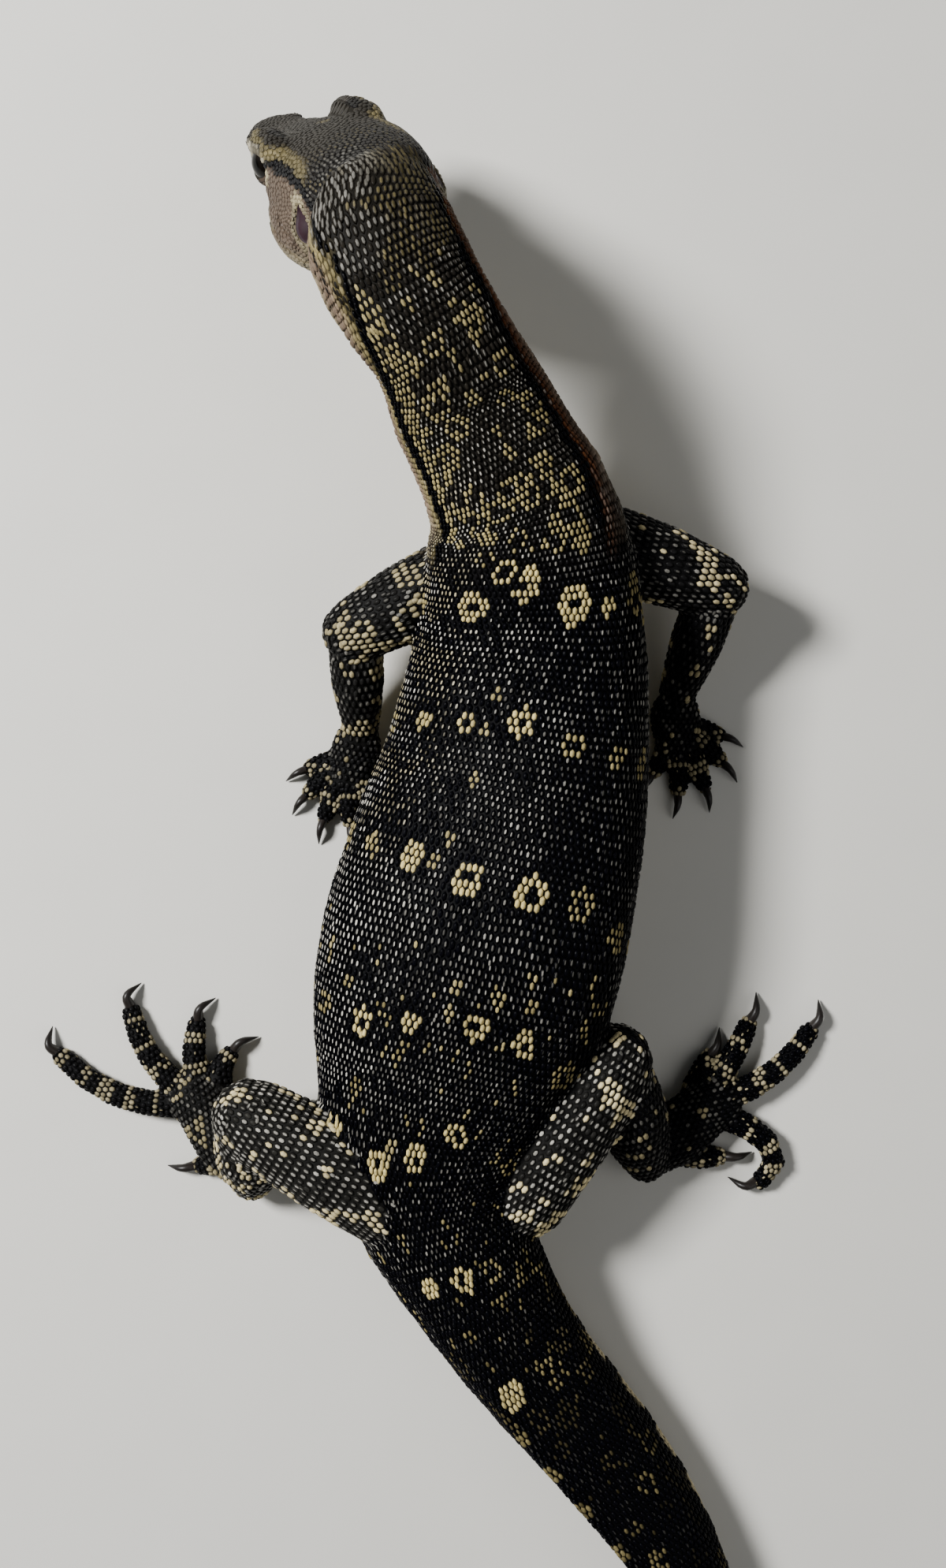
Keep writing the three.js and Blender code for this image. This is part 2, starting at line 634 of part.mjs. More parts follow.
addHead();
addBody();
["left", "right"].forEach((side) => {
  addLimb(arm(ARMS[side]), side);
  addLimb(leg(LEGS[side]), side);
});

// The origin lies on the floor under the middle of the animal's box
lizard.updateMatrixWorld(true);
const middle = new THREE.Box3().setFromObject(lizard, true).getCenter(new THREE.Vector3());
lizard.position.set(-middle.x, -middle.y, 0);

export default lizard;
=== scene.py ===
"""Finishes a young water monitor lizard: one skin without seams, beaded scales, eyes, ears and claws.

Lengths in the tables and in the making are millimetres from the animal's own working origin, and
angles are degrees. to_part() turns them into metres in the frame of the packed model.
"""

import json
import math

import bmesh
import bpy
import numpy as np
from bpy.props import FloatProperty, FloatVectorProperty, IntProperty, PointerProperty
from bpy.types import Operator, Panel, PropertyGroup
from mathutils import Matrix, Vector
from mathutils.bvhtree import BVHTree
from mathutils.kdtree import KDTree

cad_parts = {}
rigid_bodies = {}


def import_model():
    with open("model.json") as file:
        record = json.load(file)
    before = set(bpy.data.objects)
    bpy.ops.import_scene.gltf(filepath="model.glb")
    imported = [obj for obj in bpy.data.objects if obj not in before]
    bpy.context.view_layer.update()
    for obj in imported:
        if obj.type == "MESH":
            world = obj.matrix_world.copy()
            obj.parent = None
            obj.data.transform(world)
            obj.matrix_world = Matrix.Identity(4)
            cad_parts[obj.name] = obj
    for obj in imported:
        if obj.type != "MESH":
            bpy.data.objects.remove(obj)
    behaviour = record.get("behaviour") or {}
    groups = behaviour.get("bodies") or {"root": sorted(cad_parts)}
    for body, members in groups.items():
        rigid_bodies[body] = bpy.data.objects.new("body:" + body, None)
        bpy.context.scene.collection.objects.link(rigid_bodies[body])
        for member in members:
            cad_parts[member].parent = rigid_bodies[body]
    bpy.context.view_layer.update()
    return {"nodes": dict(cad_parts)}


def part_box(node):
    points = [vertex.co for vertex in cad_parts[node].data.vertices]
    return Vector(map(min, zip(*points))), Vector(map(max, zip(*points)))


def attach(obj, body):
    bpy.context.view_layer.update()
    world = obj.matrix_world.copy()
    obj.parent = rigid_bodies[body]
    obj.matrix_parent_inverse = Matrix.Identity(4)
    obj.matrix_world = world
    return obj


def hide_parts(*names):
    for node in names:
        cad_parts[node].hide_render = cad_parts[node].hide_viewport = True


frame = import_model()

bl_info = {
    "name": "Water monitor lizard",
    "version": (1, 0, 0),
    "blender": (4, 5, 0),
    "location": "3D View > Sidebar > Monitor",
    "description": "Skin, scales, eyes, ears and claws of a young water monitor lizard",
    "category": "Object",
}

MM = 0.001  # metres in a millimetre

# Head frame: origin midway between the ears, +Y to the snout, +X to the animal's right
HEAD_PLACE = np.array([-15.3, 85.4, 32.9])
HEAD_TURN = {"pitch": -45, "roll": 18.8, "yaw": 40.5}
HEAD_BACK = -6.5
AHEAD = 60  # only the head and the neck lie further forward than this
SOLID_EYE_PLACE = np.array([7.0, 17.8, 3.0])
EYE_PLACE = np.array([7.3, 17.5, 2.7])
GAZE = np.array([1, -0.02, 0.14])
CORNEA = {"bulge": 0.03, "spread": 0.5}
EYE_OPENING = {"back": 0.2, "up": 0.3, "half_length": 2.3, "half_height": 1.75}
LID = {"thickness": 0.24, "upper": 1.0, "lower": 0.3}
EAR_PLACE = np.array([10.8, -0.1, -0.6])
EAR = {"half_width": 1.2, "half_height": 2.4, "lean": -0.42, "depth": 0.5}
NOSTRIL_PLACE = np.array([4.0, 34.6, 0.9])
MOUTH = np.array([[7.5, -3.2], [22, -2.7], [42, -1.3]])  # corner, middle, tip, as (y, z)
# Folds along the jaw and before the ear: depth, width, heights at distances forward, and the
# distances over which each starts and ends
HEAD_FOLDS = (
    (0.45, 0.4, ([-6, 0, 4, 8], [-7.5, -6.2, -4.8, -3.4]), (-5, -1), (9, 7)),
    (0.4, 0.35, ([0.7, 1.6, 3.3, 4.7, 6.3], [-4.2, -2.6, -2.2, -1.4, -0.2]), (0.5, 1.5), (6.5, 5)),
)

# Body stations: x, y, lift off the floor, width, height and roll of the back
STATIONS = np.array(
    [
        [-18.0, 86.6, 23.8, 18.4, 16.8, 19],
        [-14.9, 82.6, 28.7, 19.2, 16.8, 18],
        [-13.2, 77.0, 30.8, 21.2, 17.0, 12],
        [-9.2, 69.2, 30.6, 20.6, 17.0, 6],
        [-4.1, 62.0, 27.8, 19.6, 17.0, 2],
        [-1.0, 56.3, 23.3, 22.0, 17.8, 0],
        [3.9, 47.9, 18.0, 24.0, 19.5, 0],
        [7.2, 41.2, 13.3, 28.0, 22.0, 0],
        [8.8, 30.5, 8.4, 32.0, 24.0, -5],
        [8.9, 22.2, 5.3, 34.6, 25.3, -8],
        [7.8, 11.6, 2.5, 38.4, 26.5, -14],
        [6.2, 0.6, 0.7, 42.0, 27.3, -17],
        [3.3, -11.2, 0, 45.6, 28.0, -18],
        [0.4, -22.7, 0, 47.2, 28.0, -16],
        [-2.3, -33.5, 0, 46.2, 27.0, -10],
        [-4.9, -44.0, 0, 40.6, 25.5, -9],
        [-7.0, -55.6, 0, 33.4, 23.5, -12],
        [-5.8, -66.0, 0, 27.6, 21.4, -18],
        [1.2, -80.5, 0, 23.0, 20.8, -26],
        [8.8, -92.2, 0, 19.4, 20.6, -34],
        [20.4, -105.8, 0, 15.6, 19.8, -40],
        [30.2, -119.6, 0, 12.8, 18.0, -36],
        [37.4, -135.6, 0, 11.0, 16.2, -26],
        [42.2, -156.0, 0, 9.6, 14.4, -17],
        [43.0, -180.0, 0, 8.3, 12.8, -11],
        [36.6, -205.0, 0, 7.1, 11.2, -8],
        [22.0, -227.0, 0, 5.9, 9.4, -6],
        [2.6, -246.0, 0, 4.6, 7.3, -5],
        [-17.0, -262.0, 0, 3.2, 4.9, -3],
        [-32.0, -279.0, 0, 1.6, 2.0, 0],
    ]
)
BELLY_SINK = 0.5
MOST_SUNK = 0.25
TRUNK_ROUNDNESS = 2.25
TAIL_ROUNDNESS = 2.0
KEEL = {"from": 157, "to": 222, "fade": 402, "narrowing": 0.42, "crest": 1.1, "sharpness": 24}
# Where each stretch of scales begins and ends along the body, back from its first station
STRETCHES = {
    "neck": (3, 55),
    "chest": (55, 85),
    "belly": (85, 131),
    "hips": (131, 165),
    "tail_root": (165, 225),
    "tail_middle": (225, 300),
    "tail_tip": (300, 424),
}

# Limbs: joints, then radii at the root, the middle and the far end of each length
ARMS = {
    "left": {
        "joints": [[-3.0, 31.8, 16.5], [-18.6, 24.0, 14.2], [-18.2, 9.6, 4.2], [-19.4, 4.4, 2.3]],
        "spread": [188, 212, 237, 260, 287],
        "bend": 14,
        "hook": 12,
    },
    "right": {
        "joints": [[21.0, 36.8, 16.8], [38.2, 31.0, 13.8], [33.2, 14.8, 4.2], [33.0, 9.6, 2.3]],
        "spread": [-6, -31, -57, -80, -108],
        "bend": -14,
        "hook": -12,
    },
}
FINGER_LENGTHS = [5.4, 7.4, 8.8, 8.6, 6.0]
FINGER_ROOT = 0.55
# Toes: root x and y, heading, turn, gathering of the turn, length and hook of the claw
LEGS = {
    "left": {
        "joints": [[-11.5, -65.6, 12.0], [-34.6, -52.4, 14.0], [-35.8, -64.0, 4.8], [-43.8, -53.6, 3.0]],
        "toes": [
            (-41.6, -49.6, 98, -50, 1, 5.6, -35),
            (-44.8, -49.2, 110, -32, 1, 9.8, -45),
            (-47.2, -50.4, 147, -44, 1, 16.2, -60),
            (-47.6, -52.6, 184, -50, 1, 22.4, -50),
            (-39.6, -61.6, 196, -8, 1, 5.4, -10),
        ],
    },
    "right": {
        "joints": [[7.0, -64.0, 12.0], [21.8, -43.6, 14.6], [28.0, -61.0, 4.8], [37.6, -53.6, 3.0]],
        "toes": [
            (36.4, -50.2, 72, -14, 1, 5.4, 20),
            (39.8, -49.2, 56, 8, 1, 11.0, 20),
            (41.8, -51.4, 19, 38, 1, 17.6, 30),
            (41.6, -54.6, -24, -140, 2.4, 15.6, -40),
            (34.0, -60.6, -12, 12, 1, 6.6, 10),
        ],
    },
}
RADII = {
    "upper_arm": [6.2, 5.9, 4.8],
    "forearm": [4.0, 3.9, 2.6],
    "thigh": [8.2, 7.5, 6.1],
    "shin": [5.4, 5.7, 3.4],
    "finger": [1.75, 1.25],
    "toe": [2.1, 1.4],
}
FLATS = {"hand": (3.9, 2.3), "foot": (4.9, 2.6)}  # half width and half height
CLAWS = {"hand": (3.9, 0.9), "foot": (4.6, 1.05)}  # length and radius
# Radii of a claw from root to point as shares of its own, the point's radius, and its width
HORN = {"shares": (1.05, 0.92, 0.66), "point": 0.09, "narrowing": 0.8}
LIMB_BULGE = 0.04
LIMB_STRETCH = 1.25  # rows of scales on the limbs are this much further apart than the scales in them
DIGIT = {"sink": 0.2, "arch": 0.35, "steps": 5}

# Spacing of the scales across the body: distance, the setting it follows and its share of it
SPACINGS = (
    (0, "neck", 1.22),
    (10, "neck", 1.14),
    (20, "neck", 1),
    (32, "neck", 0.93),
    (60, "neck", 0.93),
    (80, "trunk", 1),
    (132, "trunk", 1),
    (148, "trunk", 0.85),
    (165, "trunk", 0.85),
    (230, "tail", 1),
    (424, "tail", 0.78),
)
# Rows of scales are further apart than the scales in a row, by this much at each distance
ROW_STRETCH = ([0, 50, 80, 230], [1.1, 1.12, 1.22, 1.26])
SCALE_LENGTH = 0.62  # half length of a scale as a share of the step between rows
SCALE_WIDTH = 0.46  # half width as a share of the spacing in a row
LIMB_SCALE = {"length": 0.56, "width": 0.47}
LIMB_HEIGHT = 0.85  # height of a scale on the limbs as a share of one on the back
# Shapes of a scale: width and height of its shoulder, and half width and length of its ridge
BEAD = {"shoulder": 0.72, "rise": 0.66, "ridge": (0.14, 0.42)}
PLATE = {"shoulder": 0.8, "rise": 0.82, "ridge": (0.34, 0.4)}

# Ringed spots of the back: distance along the body, offset from the middle of the back, half width
# of the spot, half width of its dark middle, and strength
SPOTS = [
    (70.6, -8.3, 2.4, 0.85, 0.95),
    (67.2, -0.4, 2.25, 0.5, 1.0),
    (65.2, -3.6, 1.7, 1.0, 0.95),
    (71.0, 7.0, 2.4, 0.6, 0.9),
    (71.5, 12.3, 1.3, 0, 0.75),
    (92.0, -12.4, 1.5, 0, 0.7),
    (91.0, -5.0, 1.6, 0.4, 1.0),
    (90.0, 3.2, 1.95, 0.5, 1.0),
    (92.5, 11.3, 1.6, 0.6, 0.6),
    (115.0, -16.0, 1.7, 0.5, 0.55),
    (115.0, -8.3, 2.0, 0.45, 1.0),
    (116.0, 0.9, 2.25, 0.65, 1.0),
    (116.0, 10.9, 2.35, 0.9, 0.95),
    (140.5, -20.0, 1.5, 0.4, 0.5),
    (140.5, -11.7, 1.75, 0.45, 1.0),
    (138.0, -4.1, 1.5, 0, 0.95),
    (136.0, 5.7, 1.9, 0.75, 0.7),
    (137.0, 13.2, 1.9, 0.5, 0.7),
    (130.5, 8.6, 1.0, 0, 0.5),
    (131.0, 13.6, 1.0, 0, 0.5),
    (157.0, -13.2, 1.4, 0, 0.8),
    (160.0, -5.0, 1.7, 0.3, 1.0),
    (158.0, 1.0, 1.8, 0.45, 1.0),
    (153.5, 6.6, 1.75, 0.55, 0.75),
    (178.5, -1.5, 1.45, 0, 0.95),
    (179.0, 4.1, 1.75, 0.5, 0.95),
    (180.0, 9.1, 1.4, 0.5, 0.5),
    (198.0, 3.0, 2.1, 0, 0.85),
    (198.0, 9.5, 1.6, 0.5, 0.45),
]
# Rows of spots further down the flanks: distance, and where they start on the left and the right
FLANK_ROWS = ((70.5, -12, 12), (92, -14, 12), (115, -18, 12), (139, -22, 15), (159, -16, 9))
SPOT_ASPECT = 1.25  # length of a spot as a share of its width
SMALL_MARKS = [(86, -1.6), (92, -1.9), (101, -2), (111, -3), (115, -4.7), (130.5, 2), (135, 1.4), (157, -3)]
# Dark stripe on each side of the neck: distances along the body, and its offsets there
STRIPES = {
    "left": (
        [3, 11, 12, 13.4, 14.6, 15.9, 18, 21.8, 24.5, 30, 38, 47, 60],
        [-12.8, -12.2, -11.8, -10.8, -10, -9.3, -9.1, -9.7, -10.5, -12.2, -12.2, -12.8, -15],
    ),
    "right": ([3, 12, 25, 30, 40, 47, 60], [9.0, 9.2, 8.8, 8.2, 9.0, 9.5, 11]),
}
# Height of the dark stripe on the side of the head, at distances forward
HEAD_STRIPE = (
    [-7, -4, -1.9, -0.9, 0.6, 2.6, 4.8, 7.7, 12.6, 14, 15.5, 18],
    [2.4, 2.2, 2.1, 3.3, 4.2, 4.6, 4.9, 4.8, 4.7, 4.2, 3.5, 2.6],
)
# Painted shade of creases on the left side of the neck: distance and offset at each end
CREASE_SHADES = [((13.6, -13.4), (17.8, -13.1)), ((17.4, -11.1), (23.4, -10.5))]


def srgb(red, green, blue):
    """A colour given as it looks on a screen, 0 to 255, in linear light."""
    shares = [value / 255 for value in (red, green, blue)]
    return tuple(v / 12.92 if v <= 0.04045 else ((v + 0.055) / 1.055) ** 2.4 for v in shares)


def length(name, description, default):
    """A length property, given in millimetres."""
    return FloatProperty(
        name=name, description=description, default=default * MM, unit="LENGTH", subtype="DISTANCE"
    )


def power(name, description, default):
    return FloatProperty(name=name, description=description, default=default, unit="POWER")


def pass_count(name, description, default):
    return IntProperty(name=name, description=description, default=default, min=0)


def colour(name, description, *screen):
    """A colour property, given as it looks on a screen."""
    return FloatVectorProperty(
        name=name, description=description, default=srgb(*screen), subtype="COLOR", min=0, max=1
    )


class SkinSettings(PropertyGroup):
    """Fineness and folds of the skin."""

    voxel: length("Voxel", "Size of the grid that joins the flesh into one skin", 0.5)
    swell: length("Swell", "How far each part grows to close the gaps between parts", 0.22)
    smoothing: pass_count("Smoothing", "Passes that round the body", 10)
    head_smoothing: pass_count("Head smoothing", "Passes on the head", 4)
    nape_smoothing: pass_count("Nape smoothing", "Passes behind the head", 90)
    share_kept: FloatProperty(
        name="Share kept", description="Share of the faces kept away from the head", default=0.22
    )
    lip_groove: length("Lip groove", "Depth of the line of the mouth", 0.5)
    nostril_depth: length("Nostril", "Depth of the nostrils", 0.9)
    fold_depth: length("Folds", "Depth of the folds along the neck and flanks", 0.32)


class ScaleSettings(PropertyGroup):
    """Sizes of the scales."""

    head_pitch: length("Head pitch", "Spacing of the plates on the top of the head", 0.78)
    neck_pitch: length("Neck pitch", "Spacing of the scales across the neck", 0.86)
    trunk_pitch: length("Trunk pitch", "Spacing of the scales across the back", 0.98)
    tail_pitch: length("Tail pitch", "Spacing of the scales across the tail", 0.88)
    limb_pitch: length("Limb pitch", "Spacing of the scales on the limbs", 1.04)
    digit_pitch: length("Digit pitch", "Spacing of the plates on the fingers and toes", 0.95)
    height: length("Height", "How far a scale of the back stands out", 0.34)
    plate_height: length("Plate height", "How far a head plate stands out", 0.11)


class ColourSettings(PropertyGroup):
    """Colours of the skin and scales."""

    back: colour("Back", "Ground of the back", 4, 4, 7)
    brown: colour("Brown", "Top of the head and the nape", 36, 33, 28)
    fleck: colour("Fleck", "Small flecks of the back", 186, 182, 172)
    spot: colour("Spot", "Ringed spots", 206, 187, 126)
    tan: colour("Tan", "Beads of the neck", 158, 144, 100)
    cream: colour("Cream", "Belly and throat", 186, 173, 138)
    cheek: colour("Cheek", "Side of the head", 80, 68, 57)
    rust: colour("Rust", "Lower edge of the neck", 84, 50, 28)
    ear: colour("Ear", "Eardrum", 40, 20, 29)


class EyeSettings(PropertyGroup):
    """Size and colour of the eyes."""

    radius: length("Radius", "Radius of the eyeball", 3.05)
    iris: colour("Iris", "Colour of the iris", 15, 11, 8)
    pupil: FloatProperty(name="Pupil", description="Half angle of the pupil", default=0.42, subtype="ANGLE")


class ClawSettings(PropertyGroup):
    """Colour of the claws."""

    root: colour("Root", "Claw where it leaves the toe", 36, 31, 28)
    tip: colour("Tip", "Claw at its point", 13, 11, 10)


class StageSettings(PropertyGroup):
    """Floor, lights and camera."""

    camera_height: length("Camera height", "Height of the camera above the floor", 261)
    lens: FloatProperty(name="Lens", description="Focal length", default=36.2, unit="CAMERA")
    floor: colour("Floor", "Colour of the floor", 205, 203, 196)
    key_power: power("Key light", "Power of the main light", 12.5)
    fill_power: power("Fill light", "Power of the fill light", 1.8)


# Stage, in metres: half the floor's width, and each light's place from the animal and its size
FLOOR_SIZE = 2.5
LIGHTS = {"key": ((-0.46, 0.2, 0.5), 0.16), "fill": ((0.5, -0.25, 0.6), 0.7)}


# Geometry of the frame


def rotation(pitch, roll, yaw):
    """Turns a head-frame direction into the body's frame: roll, then pitch, then yaw."""
    turn = (
        Matrix.Rotation(math.radians(yaw), 3, "Z")
        @ Matrix.Rotation(math.radians(pitch), 3, "X")
        @ Matrix.Rotation(math.radians(roll), 3, "Y")
    )
    return np.array(turn)


HEAD_AXES = rotation(**HEAD_TURN)


def working_origin():
    """Where the working origin lies in the packed model, found from the middle of its two eyes."""
    corners = [np.array(corner) for eye in ("eye_left", "eye_right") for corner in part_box(eye)]
    between_eyes = np.mean(corners, axis=0)
    from_head = HEAD_AXES @ (SOLID_EYE_PLACE * [0, 1, 1])
    return between_eyes / MM - from_head - HEAD_PLACE


ORIGIN = working_origin()


def to_part(points):
    """From the working frame in millimetres to the packed model's frame in metres."""
    return (np.asarray(points) + ORIGIN) * MM


def from_part(points):
    return np.asarray(points) / MM - ORIGIN


def to_head(points):
    """From the working frame to the head's frame."""
    return (np.asarray(points) - HEAD_PLACE) @ HEAD_AXES


def from_head(points):
    return np.asarray(points) @ HEAD_AXES.T + HEAD_PLACE


def unit(vectors):
    return vectors / np.maximum(np.linalg.norm(vectors, axis=-1, keepdims=True), 1e-9)


def smooth_step(low, high, value):
    """0 below low and 1 above high, or the other way round where low is the greater."""
    share = np.clip((np.asarray(value, float) - low) / (high - low), 0, 1)
    return share * share * (3 - 2 * share)


def hump(value, middle, width):
    """1 at the middle, falling to 0 over about twice the width."""
    return np.exp(-(((value - middle) / width) ** 2))


def mix(first, second, share):
    """Blends two colours, or arrays of them, row by row."""
    share = np.asarray(share, float)
    share = share[..., None] if share.ndim else share
    return np.asarray(first) * (1 - share) + np.asarray(second) * share


def catmull_rom(points, steps=40, centripetal=True):
    """A smooth curve through the points, with the share of the way along for each sample."""
    points = np.asarray(points, float)
    ends = np.vstack([2 * points[0] - points[1], points, 2 * points[-1] - points[-2]])
    t = np.arange(steps)[:, None] / steps
    curve = []
    for i in range(1, len(ends) - 2):
        before, start, end, after = ends[i - 1 : i + 3]
        gaps = [1.0, 1.0, 1.0]
        if centripetal:
            pairs = ((before, start), (start, end), (end, after))
            gaps = [max(np.sum((b - a) ** 2) ** 0.25, 1e-4) for a, b in pairs]
        first, middle, last = gaps
        leaving = (start - before) / first - (end - before) / (first + middle) + (end - start) / middle
        arriving = (end - start) / middle - (after - start) / (middle + last) + (after - end) / last
        leaving, arriving = leaving * middle, arriving * middle
        curve.append(
            (2 * t**3 - 3 * t**2 + 1) * start
            + (t**3 - 2 * t**2 + t) * leaving
            + (3 * t**2 - 2 * t**3) * end
            + (t**3 - t**2) * arriving
        )
    return np.vstack([*curve, points[-1:]])


def columns_at(places, values, wanted):
    """Each column of values, read at the wanted places."""
    return np.column_stack([np.interp(wanted, places, column) for column in values.T])


def search_tree(points):
    """Finds the nearest of many points."""
    tree = KDTree(len(points))
    for i, point in enumerate(points):
        tree.insert(point, i)
    tree.balance()
    return tree


class Body:
    """The neck, trunk and tail as a curve with sections, read by distance behind the first station."""

    def __init__(self):
        width, height, roll = STATIONS[:, 3], STATIONS[:, 4], np.radians(STATIONS[:, 5])
        lowest = np.hypot(width / 2 * np.sin(roll), height / 2 * np.cos(roll))
        rest = lowest - np.minimum(BELLY_SINK, lowest * MOST_SUNK)
        centres = np.column_stack([STATIONS[:, 0], STATIONS[:, 1], STATIONS[:, 2] + rest])
        self.centres = catmull_rom(centres)
        self.sizes = catmull_rom(STATIONS[:, 3:6], centripetal=False)
        steps = np.linalg.norm(np.diff(self.centres, axis=0), axis=1)
        self.distances = np.concatenate([[0], np.cumsum(steps)])
        self.length = self.distances[-1]
        self.forwards = unit(-np.gradient(self.centres, self.distances, axis=0))

    def axes(self, distance):
        """Middle of the body at a distance, with the directions to its right and its back."""
        forward = unit(columns_at(self.distances, self.forwards, distance))
        level = unit(np.cross(forward, [0, 0, 1]))
        turn = np.radians(np.interp(distance, self.distances, self.sizes[:, 2]))[:, None]
        right = level * np.cos(turn) + np.cross(forward, level) * np.sin(turn)
        return columns_at(self.distances, self.centres, distance), right, np.cross(right, forward)

    def section(self, distance, angle):
        """Points of the surface; the angle is nought at the middle of the back, positive to the right."""
        distance, angle = np.broadcast_arrays(distance, angle)
        centre, right, up = self.axes(distance)
        width, height = columns_at(self.distances, self.sizes[:, :2], distance).T
        keel = smooth_step(KEEL["from"], KEEL["to"], distance)
        fade = 1 - smooth_step(KEEL["to"], KEEL["fade"], distance)
        power = 2 / (TRUNK_ROUNDNESS + (TAIL_ROUNDNESS - TRUNK_ROUNDNESS) * keel)
        upness = np.maximum(0, np.cos(angle))
        across = np.sign(np.sin(angle)) * np.abs(np.sin(angle)) ** power * width / 2
        across = across * (1 - KEEL["narrowing"] * keel * upness)
        above = np.sign(np.cos(angle)) * np.abs(np.cos(angle)) ** power * height / 2
        above = above + KEEL["crest"] * keel * fade * upness ** KEEL["sharpness"]
        return centre + across[:, None] * right + above[:, None] * up

    def place(self, points):
        """Distance along the body and angle round it for points near its skin."""
        tree = search_tree(self.centres)
        distance = self.distances[[tree.find(point)[1] for point in points]]
        centre, right, up = self.axes(distance)
        gap = points - centre
        return distance, np.arctan2((gap * right).sum(axis=1), (gap * up).sum(axis=1))


BODY = Body()


def lattice_noise(points, size, seed):
    """Smooth noise from 0 to 1 with features about size across."""
    scaled = np.asarray(points, float) / size
    cell = np.floor(scaled).astype(np.int64)
    part = scaled - cell
    part = part * part * (3 - 2 * part)
    primes = np.array([73856093, 19349663, 83492791])[: scaled.shape[1]]
    total = np.zeros(len(scaled))
    for corner in np.ndindex(*(2,) * scaled.shape[1]):
        weight = np.prod(np.where(corner, part, 1 - part), axis=1)
        mixed = ((cell + corner) * primes).sum(axis=1) ^ (seed * 2654435761)
        mixed = (mixed ^ (mixed >> 13)) * 1274126177
        total += weight * ((mixed >> 8 & 0xFFFF) / 0xFFFF)
    return total


# Scales: where they lie


def empty_layout():
    return {key: [] for key in ("centre", "along", "half", "plan", "where")}


def joined(layouts):
    return {key: np.concatenate([layout[key] for layout in layouts]) for key in layouts[0]}


def ring_offsets(half_girth, pitch, staggered):
    """Offsets of a ring's scales from the middle of the back, out to the middle of the belly."""
    offsets = np.arange(pitch / 2 if staggered else 0, half_girth, pitch)
    return np.concatenate([offsets, -offsets[offsets > 0]])


RING_ANGLES = np.linspace(0, math.pi, 241)
CLOSE = 0.2  # step over which a direction on the surface is measured
WANDER = 0.75  # how far a scale may lie from its even place
THROW_GAP = 0.78  # least gap between plates thrown at random, as a share of their spacing
BARE = 0.78  # a gap wider than this share of a scale is filled with another one
HEAD_LIE = np.array([1, 0.9, 1])  # plates are this much longer than wide
LIP_ROW = {"from": 8.6, "to": 38.2, "step": 1.16, "offset": 0.86}
BROW_ROW = {"from": 13.6, "to": 21.6, "step": 1.16, "x": 4.9, "half_width": 1.2}


def body_layout(places, pitches):
    """Rings of scales from the nape to the tip of the tail, each row half a scale out of step."""
    layout = empty_layout()
    distance, staggered = STRETCHES["neck"][0], False
    while distance < BODY.length - CLOSE:
        pitch = np.interp(distance, places, pitches)
        ring = BODY.section(distance, RING_ANGLES)
        arcs = np.concatenate([[0], np.cumsum(np.linalg.norm(np.diff(ring, axis=0), axis=1))])
        pitch = min(pitch, arcs[-1] / 2.2)
        step = pitch * np.interp(distance, *ROW_STRETCH)
        offsets = ring_offsets(arcs[-1], pitch, staggered)

        # Rows and files wander a little, as on real skin
        even = np.column_stack([np.full(len(offsets), distance), offsets])
        across, along = (
            WANDER * (lattice_noise(even, 11, seed) + lattice_noise(even, 3.5, seed + 1) * 0.5 - 0.75)
            for seed in (51, 53)
        )
        unrest = lattice_noise(even * 7, 1, 57) - 0.5, lattice_noise(even * 7, 1, 58) - 0.5
        offsets = offsets + (across + 0.16 * pitch * unrest[0]) * np.cos(offsets / arcs[-1] * math.pi / 2)
        along_body = np.minimum(distance + along + 0.3 * step * unrest[1], BODY.length - CLOSE)
        angles = np.sign(offsets) * np.interp(np.abs(offsets), arcs, RING_ANGLES)
        forward = BODY.section(along_body - CLOSE, angles) - BODY.section(along_body + CLOSE, angles)
        stretch = np.linalg.norm(forward, axis=1) / (2 * CLOSE)
        layout["centre"].append(BODY.section(along_body, angles))
        layout["along"].append(unit(forward))
        halves = [stretch * step * SCALE_LENGTH, np.full(len(offsets), pitch * SCALE_WIDTH)]
        layout["half"].append(np.column_stack(halves))
        layout["plan"].append(np.column_stack([offsets, along_body]))
        girth = np.full(len(offsets), arcs[-1])
        layout["where"].append(np.column_stack([along_body, offsets, girth]))
        distance += step
        staggered = not staggered
    return {key: np.concatenate(rows) for key, rows in layout.items()}


